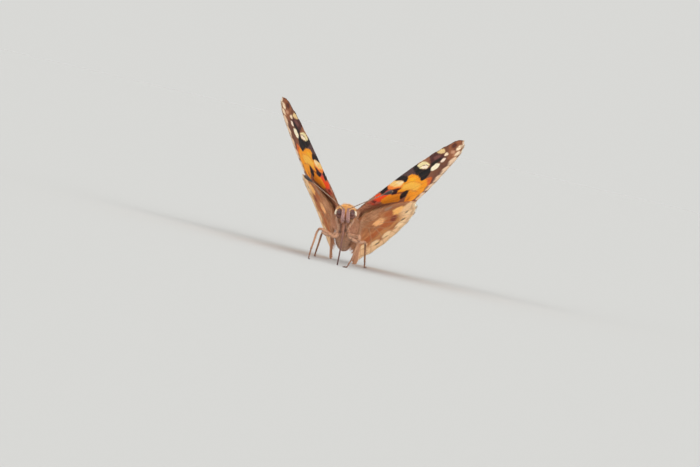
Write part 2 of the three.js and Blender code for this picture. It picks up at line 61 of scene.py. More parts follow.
def place(p):
    """From body axes to those of the floor: pitched up and lifted to its height."""
    c, s = math.cos(PITCH), math.sin(PITCH)
    x, back, up = np.moveaxis(np.asarray(p, float), -1, 0)
    return np.stack([x, back * c + up * s, HEIGHT - back * s + up * c], -1)


def roll_head(p):
    """From the head's own axes to body axes."""
    c, s = math.cos(HEAD_ROLL), math.sin(HEAD_ROLL)
    x, back, up = np.moveaxis(np.asarray(p, float), -1, 0)
    return np.stack([x * c - up * s, back, x * s + up * c], -1) + HEAD_CENTRE


def on_head(p):
    return place(roll_head(p))


def on_side(p, side):
    """From body axes of the left side to the floor's, mirrored for the right side."""
    return place(p * np.array([SIDES[side], 1, 1]))


def box_middle(node):
    low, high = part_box(node)
    return np.array(low + high) / 2 / MM


# The solids' origin is under the middle of the whole animal, so all pieces shift alike.
SHIFT = (box_middle("eye_left") + box_middle("eye_right")) / 2 - on_head(EYE_AT * [0, 1, 1])
SHIFT[2] = 0

# Camera: angle on the body axes, distance, scale, the thorax's pixel and the picture's size.
VIEW_TILT, VIEW_TURN, VIEW_ROLL = rad(-20.39), rad(-3.77), rad(-13.33)
DISTANCE, PIXELS_PER_MM, THORAX_AT = 700.0, 5.345, (345.7, 218.3)
PICTURE, SENSOR = (700, 467), 36


def new_object(name, data):
    made = bpy.data.objects.new(name, data)
    bpy.context.scene.collection.objects.link(made)
    return made


def make_camera():
    body_to_view = (
        Matrix.Rotation(VIEW_ROLL, 3, "Z")
        @ Matrix.Rotation(VIEW_TURN, 3, "Y")
        @ Matrix.Rotation(VIEW_TILT, 3, "X")
        @ Matrix(((1, 0, 0), (0, 0, 1), (0, 1, 0)))
    )
    forward = Vector((0, -math.cos(PITCH), math.sin(PITCH)))
    upward = Vector((0, math.sin(PITCH), math.cos(PITCH)))
    world_to_body = Matrix((Vector((1, 0, 0)), forward, upward))
    right, up, back = (body_to_view @ world_to_body).row
    aside = (THORAX_AT[0] - PICTURE[0] / 2) / PIXELS_PER_MM
    above = (PICTURE[1] / 2 - THORAX_AT[1]) / PIXELS_PER_MM
    thorax = Vector(place([0, 0, 0]) + SHIFT)
    spot = thorax - aside * right - above * up + DISTANCE * back
    data = bpy.data.cameras.new("camera")
    data.sensor_width = SENSOR
    data.lens = PIXELS_PER_MM * DISTANCE * SENSOR / PICTURE[0]
    data.clip_start, data.clip_end = 0.05, 20
    camera = new_object("camera", data)
    turned = Matrix((right, up, back)).transposed().to_4x4()
    camera.matrix_world = Matrix.Translation(spot * MM) @ turned
    bpy.context.scene.camera = camera


make_camera()


def linear(rgb):
    c = np.asarray(rgb, float) / 255
    return np.where(c <= 0.04045, c / 12.92, ((c + 0.055) / 1.055) ** 2.4)


def mix(one, other, share):
    """One linear colour moved towards the other, by a share for each row."""
    share = np.reshape(share, (-1, 1))
    return one * (1 - share) + other * share


def smooth_step(x):
    x = np.clip(x, 0, 1)
    return x * x * (3 - 2 * x)


def bell(x, width):
    return np.exp(-((x / width) ** 2))


def unit(vectors):
    return vectors / np.maximum(np.linalg.norm(vectors, axis=-1, keepdims=True), 1e-12)


def lattice(x, y, seed):
    """Smooth noise from -1 to 1 over the plane."""
    table = np.random.default_rng(seed).uniform(-1, 1, (64, 64))
    i, j = np.floor(x).astype(int), np.floor(y).astype(int)
    fx, fy = x - i, y - j
    fx, fy = fx * fx * (3 - 2 * fx), fy * fy * (3 - 2 * fy)
    a, b = table[i % 64, j % 64], table[(i + 1) % 64, j % 64]
    c, d = table[i % 64, (j + 1) % 64], table[(i + 1) % 64, (j + 1) % 64]
    return (a * (1 - fx) + b * fx) * (1 - fy) + (c * (1 - fx) + d * fx) * fy


def spline(points, step=None, count=None):
    """Centripetal curve through the points, at even steps."""
    p = np.asarray(points, float)
    p = np.vstack([2 * p[0] - p[1], p, 2 * p[-1] - p[-2]])
    out = []
    for a, b, c, d in zip(p[:-3], p[1:-2], p[2:-1], p[3:]):
        t0, gaps = 0.0, [max(1e-6, np.linalg.norm(q - r)) ** 0.5 for q, r in ((b, a), (c, b), (d, c))]
        t1, t2, t3 = np.cumsum([t0 + g for g in gaps])
        t = np.linspace(t1, t2, 24, endpoint=False)[:, None]
        a1 = (t1 - t) / (t1 - t0) * a + (t - t0) / (t1 - t0) * b
        a2 = (t2 - t) / (t2 - t1) * b + (t - t1) / (t2 - t1) * c
        a3 = (t3 - t) / (t3 - t2) * c + (t - t2) / (t3 - t2) * d
        b1 = (t2 - t) / (t2 - t0) * a1 + (t - t0) / (t2 - t0) * a2
        b2 = (t3 - t) / (t3 - t1) * a2 + (t - t1) / (t3 - t1) * a3
        out.append((t2 - t) / (t2 - t1) * b1 + (t - t1) / (t2 - t1) * b2)
    out = np.vstack(out + [p[-2][None]])
    run = np.concatenate([[0], np.cumsum(np.linalg.norm(np.diff(out, axis=0), axis=1))])
    count = count or max(2, round(run[-1] / step))
    at = np.linspace(0, run[-1], count + 1)
    return np.stack([np.interp(at, run, out[:, k]) for k in range(out.shape[1])], 1)


def to_line(points, line):
    """Distance of each point to a polyline."""
    best = np.full(len(points), np.inf)
    for start, step in zip(line[:-1], np.diff(line, axis=0)):
        t = np.clip(((points - start) @ step) / max(step @ step, 1e-12), 0, 1)
        best = np.minimum(best, np.linalg.norm(points - start - t[:, None] * step, axis=1))
    return best


def within(points, outline):
    inside = np.zeros(len(points), bool)
    x, y = points.T
    for (ax, ay), (bx, by) in zip(outline, np.roll(outline, 1, axis=0)):
        if ay != by:
            inside ^= ((ay > y) != (by > y)) & (x < (bx - ax) * (y - ay) / (by - ay) + ax)
    return inside


class Paint:
    """Colours laid over points of a plane, each layer with soft, slightly ragged edges."""

    def __init__(self, points, base, seed, ragged=0.13):
        x, y = points.T
        shake = [
            ragged * lattice(x * 1.9 + 7, y * 1.9, seed + k)
            + 0.5 * ragged * lattice(x * 5.3, y * 5.3 + 3, seed + k + 5)
            for k in (0, 1)
        ]
        self.at = points + np.stack(shake, 1)
        self.rgb = np.tile(linear(base), (len(points), 1))

    def lay(self, mask, colour, amount=1.0):
        self.rgb = mix(self.rgb, linear(colour), np.clip(mask, 0, 1) * amount)

    def spot(self, x, y, wide, high, colour, turn=0, soft=0.18, amount=1.0):
        c, s = math.cos(rad(turn)), math.sin(rad(turn))
        dx, dy = self.at[:, 0] - x, self.at[:, 1] - y
        reach = np.hypot((dx * c + dy * s) / wide, (dy * c - dx * s) / high)
        self.lay((1 - reach) * min(wide, high) / soft + 0.5, colour, amount)

    def patch(self, corners, colour, soft=0.16, amount=1.0):
        ring = spline(list(corners) + [corners[0]], count=8 * len(corners))
        low, high = ring.min(0) - 1.5, ring.max(0) + 1.5
        near = np.all((self.at > low) & (self.at < high), axis=1)
        gap = np.full(len(self.at), -9.0)
        gap[near] = to_line(self.at[near], ring) * np.where(within(self.at[near], ring), 1, -1)
        self.lay(gap / soft + 0.5, colour, amount)

    def stroke(self, line, width, colour, soft=0.08, amount=1.0):
        gap = to_line(self.at, spline(line, step=0.8))
        self.lay((width / 2 - gap) / soft + 0.5, colour, amount)


def mesh_object(name, verts, faces, colours, smooth=True):
    """Mesh of triangles from millimetres, with its colours as a point attribute."""
    mesh = bpy.data.meshes.new(name)
    faces = np.asarray(faces, np.int32)
    at = (verts + SHIFT) * MM
    at[:, 2] = np.clip(at[:, 2], 0, None)
    mesh.vertices.add(len(verts))
    mesh.vertices.foreach_set("co", at.astype(np.float32).ravel())
    mesh.loops.add(faces.size)
    mesh.loops.foreach_set("vertex_index", faces.ravel())
    mesh.polygons.add(len(faces))
    mesh.polygons.foreach_set("loop_start", np.arange(0, faces.size, 3, dtype=np.int32))
    mesh.update(calc_edges=True)
    mesh.polygons.foreach_set("use_smooth", np.full(len(faces), smooth))
    layer = mesh.color_attributes.new("Col", "FLOAT_COLOR", "POINT")
    rgba = np.concatenate([np.clip(colours, 0, 1), np.ones((len(colours), 1))], 1)
    layer.data.foreach_set("color", rgba.astype(np.float32).ravel())
    return new_object(name, mesh)


def finish_piece(piece, uv, finish, replaced=()):
    """The piece's own map, with a place for each corner, and its finish and body."""
    layer = piece.data.uv_layers.new(name="OFBake")
    layer.data.foreach_set("uv", uv.astype(np.float32).ravel())
    piece.data.materials.append(finish)
    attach(piece, "root")
    if replaced:
        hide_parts(*replaced)


def join(parts):
    """One mesh from lots of (verts, faces, and whatever else each vertex holds)."""
    starts = np.cumsum([0] + [len(part[0]) for part in parts])
    faces = np.concatenate([part[1] + start for part, start in zip(parts, starts)])
    verts, *held = [np.vstack(lots) for lots in zip(*[(v, *rest) for v, _, *rest in parts])]
    return verts, faces, *held


def add_piece(name, parts, finish, replaced=(), smooth=True):
    verts, faces, colours, uv = join(parts)
    finish_piece(mesh_object(name, verts, faces, colours, smooth), uv[faces], finish, replaced)


def fill_in(tree, node, inputs):
    """Values for a node's inputs, or outputs of other nodes that lead to them."""
    for name, value in inputs.items():
        if isinstance(value, bpy.types.NodeSocket):
            tree.links.new(value, node.inputs[name])
        else:
            node.inputs[name].default_value = value
    return node


def finish_material(name, roughness, tint, bump=(), sheen=0.0, coat=0.0, specular=0.5):
    """Painted surface: the colour attribute, varied a little by tint, and fine relief."""
    mat = bpy.data.materials.new(name)
    mat.use_nodes = True
    tree = mat.node_tree

    def node(kind, inputs):
        return fill_in(tree, tree.nodes.new("ShaderNode" + kind), inputs)

    colour = node("VertexColor", {})
    colour.layer_name = "Col"
    at = node("TexCoord", {}).outputs["Object"]
    fine, deep = tint
    fleck = node("TexNoise", {"Scale": fine, "Detail": 2, "Vector": at})
    span = node("MapRange", {"From Min": 0.3, "From Max": 0.7, "To Min": 1 - deep, "To Max": 1 + deep,
                             "Value": fleck.outputs["Fac"]})
    vary = node("Mix", {})
    vary.data_type, vary.blend_type = "RGBA", "MULTIPLY"
    fill_in(tree, vary, {"Factor": 1, "A": colour.outputs["Color"], "B": span.outputs["Result"]})
    surface = {"Base Color": vary.outputs["Result"], "Roughness": roughness,
               "Specular IOR Level": specular, "Sheen Weight": sheen, "Coat Weight": coat}
    for kind, scale, depth in bump:
        texture = node("TexVoronoi" if kind == "cells" else "TexNoise", {"Scale": scale, "Vector": at})
        height = texture.outputs["Distance" if kind == "cells" else "Fac"]
        relief = node("Bump", {"Strength": 1, "Distance": depth, "Height": height})
        if "Normal" in surface:
            fill_in(tree, relief, {"Normal": surface["Normal"]})
        surface["Normal"] = relief.outputs["Normal"]
    fill_in(tree, tree.nodes["Principled BSDF"], surface)
    return mat


# Wings. The plans are those of the solids; u and s run outwards, v and t backwards.
FORE_LEAN = {"left": rad(33.5), "right": rad(35.2)}
FORE_SWEEP = {"left": rad(19.2), "right": rad(17.2)}
HIND_LEAN = {"left": rad(40.4), "right": rad(39.2)}
HIND_TURN = {"left": rad(-0.4), "right": rad(-0.3)}
FORE_BASE, HIND_BASE = (2.0, -1.0, 1.92), (2.42, 1.8, 0.84)
FORE_CENTRE, HIND_CENTRE = np.array([12, 5]), np.array([4, 9])
FORE_BELLY, HIND_BELLY = 0.86, {"left": -0.2, "right": -1.25}
# The hind wings lean over between the two fold distances, and curl in below the first.
FOLD, CURL = (-0.4, 1.4), 0.32
FORE_COSTA = [(-1.6, 0.2), (0, -0.3), (5, -1.5), (10, -2.3), (15, -2.5), (20, -2.1),
              (25, -1.1), (28, 0.0), (29.6, 1.1)]
FORE_ENDS = [(29.6, 1.1), (30.2, 2.9), (30.0, 5.2), (28.9, 7.6), (27.7, 9.9), (26.6, 12.5),
             (25.2, 14.9), (22.9, 17.0)]
FORE_INNER = [(22.9, 17.0), (21.5, 17.3), (18, 15.9), (12, 12.2), (6, 8.0), (2, 4.9), (-1.6, 2.4)]
FORE_VEINS = [
    [(-1.4, 0.7), (5, -0.5), (11, -1.5), (17, -2.35)],
    [(-1.4, 1.2), (0, 1.0), (6, 0.5), (13.5, 0.2), (19, -0.1), (23, 0.05), (26.5, 0.4), (29.6, 1.1)],
    [(9.5, 0.3), (15, -1.0), (20.5, -2.03)],
    [(12.5, 0.2), (18, -0.8), (23.2, -1.5)],
    [(19, -0.1), (24, -0.6), (26.8, -0.48)],
    [(23, 0.05), (27, 1.5), (30.2, 2.9)],
    [(13.5, 0.2), (13.8, 1.0), (20, 2.4), (25, 3.8), (30.0, 5.2)],
    [(13.6, 3.0), (20, 4.7), (28.9, 7.6)],
    [(-1.4, 1.7), (0, 1.9), (4, 3.0), (8, 4.5), (12.8, 6.5), (20, 8.2), (27.7, 9.9)],
    [(10.8, 5.7), (18, 9.0), (26.6, 12.5)],
    [(7.8, 4.4), (15, 9.0), (25.2, 14.9)],
    [(-1.4, 2.1), (3, 4.1), (10, 8.9), (17, 13.5), (22.9, 17.0)],
    [(13.8, 1.0), (13.6, 3.0), (12.8, 6.5)],
]
HIND_COSTA = [(-0.3, -0.7), (0.6, -1.15), (1.9, -0.9), (3.3, 0.1), (5.4, 1.6), (8.2, 3.8), (11.6, 7.4),
              (13.7, 11.0)]
HIND_ENDS = [(13.7, 11.0), (14.2, 14.3), (13.8, 17.2), (12.2, 20.1), (9.7, 22.2), (6.6, 23.5),
             (3.3, 23.4), (0.5, 21.9), (-1.2, 19.8)]
HIND_INNER = [(-1.2, 19.8), (-1.9, 18.6), (-2.3, 15), (-2.1, 9), (-1.3, 3.5), (-1.0, 0.7)]
HIND_VEINS = [
    [(0.2, 0.4), (4, 1.6), (8.6, 5.0), (12.2, 8.9), (13.7, 11.0)],
    [(0.1, 1.2), (2.5, 3.8), (4.8, 6.8), (9, 10.4), (14.2, 14.3)],
    [(4.8, 6.8), (5.4, 8.0), (9.7, 12.6), (13.8, 17.2)],
    [(5.2, 9.0), (8.9, 14.4), (12.2, 20.1)],
    [(0.0, 1.7), (1.2, 5), (2.8, 8.2), (4.4, 10.2), (7.2, 16), (9.7, 22.2)],
    [(3.7, 9.3), (5.4, 16), (6.6, 23.5)],
    [(2.4, 7.5), (3.1, 15), (3.3, 23.4)],
    [(-0.2, 2.2), (0.3, 8), (0.6, 15), (0.5, 21.9)],
    [(-0.5, 2.6), (-1.1, 8), (-1.3, 14), (-1.2, 19.8)],
    [(5.4, 8.0), (5.2, 9.0), (4.4, 10.2)],
]


def scalloped(ends, centre, depth):
    line = [ends[0]]
    for a, b in zip(ends[:-1], ends[1:]):
        middle = (np.array(a) + b) / 2
        outwards = (middle - centre) / np.linalg.norm(middle - centre)
        line += [middle + (0.05 * math.dist(a, b) - depth) * outwards, b]
    return line


def fore_surface(points, side):
    u, v = points.T
    lean, sweep = FORE_LEAN[side], FORE_SWEEP[side]
    out = u * math.cos(sweep) - v * math.sin(sweep)
    back = u * math.sin(sweep) + v * math.cos(sweep)
    belly = FORE_BELLY * np.clip(u / 30, 0, 1.1) ** 2 * np.sin(np.pi * np.clip(v / 17, 0, 1) ** 0.7)
    return np.stack([
        FORE_BASE[0] + out * math.sin(lean) + belly * math.cos(lean),
        FORE_BASE[1] + back,
        FORE_BASE[2] + out * math.cos(lean) - belly * math.sin(lean),
    ], 1)


def hind_surface(points, side):
    s, t = points.T
    lean, turn = HIND_LEAN[side], HIND_TURN[side]
    q = s * math.cos(turn) - t * math.sin(turn)
    back = s * math.sin(turn) + t * math.cos(turn)
    bend = lean / (FOLD[1] - FOLD[0])
    angle = bend * (np.clip(q, *FOLD) - FOLD[0])
    beyond, tuck = np.maximum(0, q - FOLD[1]), CURL * np.maximum(0, FOLD[0] - q)
    out = (1 - np.cos(angle)) / bend + beyond * math.sin(lean) - (1 - np.cos(tuck)) / CURL
    rise = np.sin(angle) / bend + beyond * math.cos(lean) - np.sin(tuck) / CURL
    out_base = (1 - math.cos(lean)) / bend - FOLD[1] * math.sin(lean)
    rise_base = math.sin(lean) / bend - FOLD[1] * math.cos(lean)
    around = np.clip((np.arctan2(t, s) - 0.7) / 0.9, 0, 1)
    belly = HIND_BELLY[side] * (np.hypot(s, t) / 24) ** 2 * np.sin(np.pi * around)
    return np.stack([
        HIND_BASE[0] - out_base + out + belly * np.cos(angle),
        HIND_BASE[1] + back,
        HIND_BASE[2] - rise_base + rise - belly * np.sin(angle),
    ], 1)


def surface_normal(surface, points, side):
    """Unit normal on the upper side of a left wing."""
    here = surface(points, side)
    along, across = (surface(points + step, side) - here for step in ([0.01, 0], [0, 0.01]))
    return unit(np.cross(along, across))


INK = (14, 9, 13)


def between(ends, centre, inset):
    """Middles of the spaces between vein ends, drawn in from the margin."""
    spots = []
    for a, b in zip(ends[:-1], ends[1:]):
        middle = (np.array(a) + b) / 2
        spots.append(middle + inset * (centre - middle) / np.linalg.norm(middle - centre))
    return spots


def fore_under(points, edge):
    p = Paint(points, (158, 100, 70), 11)
    u, v = p.at.T
    p.lay((u - 18) / 6, (116, 70, 50))
    p.lay((v - 0.62 * u - 1.5) / 4, (178, 120, 86), 0.85)
    p.lay(1.2 - u / 3.2, (160, 104, 78), 0.8)
    p.patch([(9.6, -2.6), (14.6, -2.8), (16.6, 0.2), (18.4, 3.2), (16.6, 2.4), (14.8, 0.9), (12.6, -0.6)],
            (84, 60, 60), 0.3)
    # Pinkish and red streaks near the base.
    p.patch([(2.2, -0.4), (3.2, -0.9), (5.4, 1.3), (7.3, 3.5), (6.6, 3.9), (4.6, 2.3), (3.0, 0.8)],
            (196, 96, 76), 0.5, 0.8)
    p.patch([(4.1, -1.5), (5.2, -1.0), (6.9, 0.8), (8.3, 0.7), (9.2, 1.9), (10.4, 4.0), (9.2, 3.9),
             (7.4, 3.2), (6.1, 2.3), (4.9, 0.9), (4.2, -0.3)], (248, 76, 26), 0.35)
    for line, width, colour, soft, amount in (
        ([(2.0, -0.6), (3.2, 0.5), (4.4, 1.8), (5.6, 3.2)], 0.25, (214, 60, 34), 0.2, 0.85),
        ([(4.2, 0.2), (5.4, 1.5), (6.6, 2.6), (7.8, 3.6)], 0.4, (232, 70, 44), 0.25, 0.9),
        ([(5.0, 2.6), (6.2, 3.6), (7.4, 4.6)], 0.3, (150, 60, 30), 0.25, 0.8),
        ([(3.5, 0.2), (4.5, 1.1), (5.1, 1.9)], 0.55, (92, 22, 12), 0.3, 0.9),
        ([(2.4, 0.9), (3.4, 2.0), (4.6, 3.4)], 0.3, (128, 62, 40), 0.25, 0.7),
        ([(1.2, 0.2), (2.8, 1.6), (4.4, 3.0)], 0.25, (206, 142, 112), 0.2, 0.6),
        ([(0.6, -0.5), (2.2, -0.2), (4.0, 1.4)], 0.2, (106, 40, 28), 0.2, 0.8),
        ([(0.4, 0.5), (2.0, 1.4), (3.6, 2.9)], 0.22, (118, 56, 38), 0.2, 0.8),
        ([(0.8, -0.9), (2.6, -0.9), (4.2, -0.2)], 0.18, (214, 128, 104), 0.2, 0.8),
    ):
        p.stroke(line, width, colour, soft, amount)
    # Orange field: lower strip, then the upper one with its yellow heart.
    p.patch([(7.0, 2.7), (8.4, 2.6), (9.6, 3.0), (10.7, 3.9), (12.0, 4.8), (13.4, 5.8), (14.3, 7.2),
             (15.0, 9.4), (14.2, 9.4), (12.8, 8.3), (10.8, 6.9), (9.1, 5.7), (8.0, 4.6)],
            (255, 152, 30), 0.25)
    p.patch([(13.4, 0.4), (14.8, 0.5), (16.4, 1.8), (17.6, 3.3), (18.6, 4.8), (20.2, 6.3), (22.3, 7.4),
             (23.4, 9.3), (23.5, 11.8), (22.1, 13.7), (19.4, 13.8), (17.2, 12.4), (16.6, 10.2),
             (16.4, 8.2), (15.4, 6.6), (13.8, 5.6), (12.2, 4.6), (11.2, 3.9), (12.2, 3.2), (12.8, 1.8)],
            (255, 158, 22), 0.25)
    p.patch([(12.9, 2.7), (14.4, 2.9), (16.6, 4.2), (18.6, 6.4), (20.2, 8.6), (19.4, 9.8), (17.4, 8.0),
             (15.4, 5.9), (13.6, 4.5)], (255, 196, 78), 0.9, 0.8)
    p.patch([(14.4, 1.5), (16.0, 2.4), (17.4, 4.2), (16.6, 4.2), (15.0, 2.9)], (255, 184, 34), 0.5, 0.8)
    p.patch([(20.9, 6.7), (22.6, 7.6), (23.7, 9.6), (23.5, 12.0), (22.6, 9.8)], (214, 84, 40), 0.5, 0.8)
    p.stroke([(10.6, 3.8), (12.4, 4.9), (13.9, 5.9), (15.0, 6.6)], 0.4, (150, 58, 24), 0.3, 0.9)
    p.stroke([(13.6, 2.6), (16.2, 3.9), (18.4, 6.0), (20.6, 8.4)], 0.16, (214, 112, 30), 0.2, 0.7)
    p.stroke([(16.2, 6.9), (18.0, 8.4), (20.0, 10.8)], 0.2, (206, 100, 34), 0.25, 0.8)
    # Cell's pale bar between its orange rims and the black around it.
    p.patch([(6.5, -2.4), (8.6, -2.4), (9.6, -0.6), (11.0, 1.4), (12.6, 2.1), (13.2, 3.2), (11.4, 2.6),
             (9.8, 1.6), (8.0, -0.2), (7.2, -1.3)], (250, 132, 48), 0.25)
    p.patch([(7.4, -2.3), (9.4, -1.9), (10.6, -0.7), (11.9, 0.3), (12.8, 1.5), (12.5, 2.2), (11.2, 1.7),
             (10.0, 0.8), (9.0, -0.3), (8.1, -1.2)], (255, 204, 122), 0.3)
    p.patch([(9.8, -0.9), (11.0, -0.4), (12.2, 0.6), (12.7, 1.6), (11.4, 1.3)], (255, 224, 170), 0.3, 0.9)
    p.patch([(5.1, -1.7), (6.9, -2.1), (7.4, -1.1), (8.1, 0.2), (7.5, 0.5), (6.5, 0.2), (5.7, -0.7)],
            INK, 0.2)
    p.stroke([(7.6, 0.3), (8.4, 0.8), (9.2, 1.6)], 0.7, (196, 74, 62), 0.3, 0.8)
    p.patch([(8.7, 0.9), (9.7, 1.3), (10.9, 2.2), (11.9, 3.4), (12.1, 4.4), (11.2, 4.3), (10.0, 3.3),
             (9.2, 2.2)], (40, 14, 22), 0.22)
    p.patch([(10.6, 1.9), (11.8, 2.6), (12.9, 3.6), (12.2, 3.7), (11.2, 2.9)], (78, 10, 6), 0.25)
    p.patch([(8.9, -2.3), (10.2, -2.6), (12.0, -1.3), (13.3, -0.1), (14.0, 1.2), (13.8, 2.1), (12.9, 1.6),
             (12.3, 0.4), (11.0, -0.6), (9.9, -1.4)], INK, 0.18)
    p.spot(15.3, 7.7, 1.15, 1.65, (14, 8, 8), turn=-30, soft=0.22)
    p.spot(18.0, 11.6, 0.45, 0.7, (170, 84, 30), turn=-28, soft=0.4, amount=0.6)
    p.patch([(14.0, -2.7), (15.1, -2.6), (16.3, -0.9), (17.2, 0.5), (18.3, 1.6), (19.8, 2.4), (20.9, 2.1),
             (21.4, 3.6), (21.3, 5.6), (20.4, 6.6), (19.3, 6.0), (18.2, 4.3), (17.2, 2.8), (16.1, 1.2),
             (14.9, -0.7)], INK, 0.18)
    # Wing tip: white bar, purple brown, pale spots and the marbled corner.
    p.patch([(18.6, -2.3), (21.4, -1.9), (22.6, 0.2), (24.0, 1.3), (24.2, 2.4), (22.4, 2.9), (20.6, 2.6),
             (20.0, 0.9)], (78, 40, 38), 0.3)
    p.patch([(20.6, -0.5), (22.4, 0.2), (22.9, 0.9), (21.2, 0.9)], (122, 76, 70), 0.35, 0.8)
    p.patch([(20.4, 1.2), (22.6, 1.4), (23.6, 2.0), (22.2, 2.7), (20.8, 2.6)], (34, 22, 16), 0.3)
    p.patch([(14.8, -2.9), (17.2, -2.7), (17.9, -2.0), (16.0, -2.2)], (160, 110, 82), 0.3, 0.8)
    p.patch([(15.1, -2.2), (16.9, -2.0), (18.1, -0.9), (19.5, 0.6), (20.0, 1.4), (19.4, 2.1), (18.3, 1.4),
             (17.2, 0.5), (16.1, -0.8)], (248, 230, 172), 0.2)
    p.patch([(17.3, 0.3), (18.4, 0.2), (19.5, 1.1), (19.5, 2.0), (18.3, 1.4)], (255, 232, 206), 0.2)
    p.stroke([(16.9, -0.1), (17.9, 0.05), (18.9, 0.65), (19.7, 1.5)], 0.2, (112, 76, 52), 0.12, 0.9)
    p.patch([(20.9, -1.9), (22.4, -1.7), (23.3, -1.1), (23.9, 0.1), (24.0, 0.7), (22.9, 0.2), (21.9, -0.7)],
            (240, 206, 146), 0.22)
    p.spot(22.3, 3.9, 1.5, 1.0, (254, 240, 208), turn=38, soft=0.22)
    p.spot(24.2, 3.05, 0.85, 0.6, (252, 226, 204), turn=45, soft=0.18)
    p.spot(24.7, 1.6, 0.85, 0.45, (250, 222, 188), turn=42, soft=0.18)
    p.patch([(24.7, -1.2), (28.0, 0.2), (29.3, 2.0), (29.2, 4.8), (27.4, 5.2), (25.6, 3.6), (25.3, 2.0)],
            (146, 88, 58), 0.5)
    p.spot(26.6, 0.5, 0.9, 0.5, (86, 44, 34), turn=25, soft=0.3)
    p.spot(27.4, 1.9, 0.9, 0.5, (112, 56, 32), turn=35, soft=0.3)
    p.spot(26.7, 2.4, 1.0, 0.4, (206, 152, 120), turn=50, soft=0.3, amount=0.8)
    p.spot(27.6, 4.1, 0.9, 0.4, (196, 136, 96), turn=50, soft=0.3, amount=0.8)
    p.stroke([(23.8, 4.4), (25.0, 5.8), (26.2, 7.2)], 0.5, (104, 62, 50), 0.4, 0.8)
    spots = between(FORE_ENDS, FORE_CENTRE, 1.55)
    for k, (x, y) in enumerate(spots):
        tone = (250, 220, 184) if k < 2 else (240, 204, 170)
        size = 0.66 if k < 2 else 1.15
        p.spot(x, y, 1.25 * size + 0.2, size, tone, turn=28 + 4 * k, soft=0.35)
    for x, y in between(FORE_ENDS, FORE_CENTRE, 3.1)[2:]:
        p.spot(x, y, 0.8, 0.55, (104, 60, 48), turn=45, soft=0.4, amount=0.7)
    p.lay(1 - np.abs(edge - 1.0) / 0.22, (104, 66, 50), 0.5)
    p.lay((0.72 - edge) / 0.15, (226, 192, 160), 0.85)
    return p


def fore_upper(points, edge):
    p = Paint(points, (228, 122, 58), 23)
    u, v = p.at.T
    p.patch([(14.4, -2.9), (22, -2.6), (29.9, 0.9), (30.7, 3), (30.4, 5.3), (29.4, 7.7), (28.3, 10),
             (27.2, 12.5), (25.6, 15.4), (23.7, 16.9), (23.7, 14.0), (24.4, 11.4), (23.2, 9.5),
             (21.0, 8.1), (19.0, 6.7), (17.2, 5.3), (15.6, 3.8), (14.6, 2.0), (14.9, 0.4)], INK, 0.2)
    p.lay((1.9 - edge) / 0.8 * (u > 22), (56, 38, 32), 0.8)
    p.lay(1.5 - u / 3.6, (116, 82, 50), 0.9)
    p.lay((v - 0.72 * u - 0.9) / 1.6 * (u < 19), (150, 104, 62), 0.7)
    p.stroke([(0, -0.6), (5, -1.7), (10, -2.4), (15, -2.6)], 0.8, (70, 50, 38), 0.3)
    for bar in (
        [(5.4, -1.5), (6.6, -1.6), (7.0, 0.8), (7.3, 2.9), (6.3, 3.3), (5.8, 1.0)],
        [(8.7, -1.8), (9.9, -2.0), (9.8, 0.2), (10.4, 1.4), (10.3, 3.9), (9.2, 4.4), (8.9, 2.2)],
        [(12.0, -2.3), (14.4, -2.4), (14.5, 0.2), (13.9, 2.2), (13.5, 4.7), (12.4, 5.6), (12.2, 3.0)],
        [(12.5, 5.0), (15.0, 5.4), (17.1, 6.9), (17.3, 9.2), (15.6, 9.8), (14.0, 8.6), (12.7, 7.2)],
    ):
        p.patch(bar, INK, 0.18)
    p.spot(17.9, 12.5, 1.15, 1.5, INK, turn=-35, soft=0.2)
    p.spot(11.2, 9.3, 0.8, 0.95, INK, turn=-35, soft=0.25, amount=0.9)
    p.patch([(15.6, -2.4), (17.6, -2.4), (18.5, -0.6), (18.7, 1.2), (18.0, 2.7), (16.9, 2.4),
             (16.4, 0.6)], (250, 245, 232), 0.15)
    for x, y, wide, high in ((22.1, -0.9, 0.85, 0.5), (23.8, 0.9, 0.7, 0.55), (24.1, 3.0, 0.9, 0.65),
                             (21.7, 5.2, 1.25, 0.85)):
        p.spot(x, y, wide, high, (250, 246, 236), turn=20, soft=0.15)
    for x, y in between(FORE_ENDS, FORE_CENTRE, 1.35):
        p.spot(x, y, 0.3, 0.62, (190, 178, 168), soft=0.18, amount=0.8)
    for x, y in between(FORE_ENDS, FORE_CENTRE, 2.9)[4:]:
        p.spot(x, y, 0.5, 0.5, (206, 110, 56), soft=0.4, amount=0.6)
    p.lay((0.66 - edge) / 0.15, (190, 158, 130), 0.85)
    return p


def eyespot(p, x, y, size, turn, amount):
    p.spot(x, y, 1.5 * size, 1.25 * size, (206, 162, 96), turn, 0.25, amount)
    p.spot(x, y, size, 0.88 * size, (78, 52, 44), turn, 0.15, amount)
    p.spot(x, y, 0.55 * size, 0.45 * size, (104, 112, 130), turn, 0.15, 0.9 * amount)


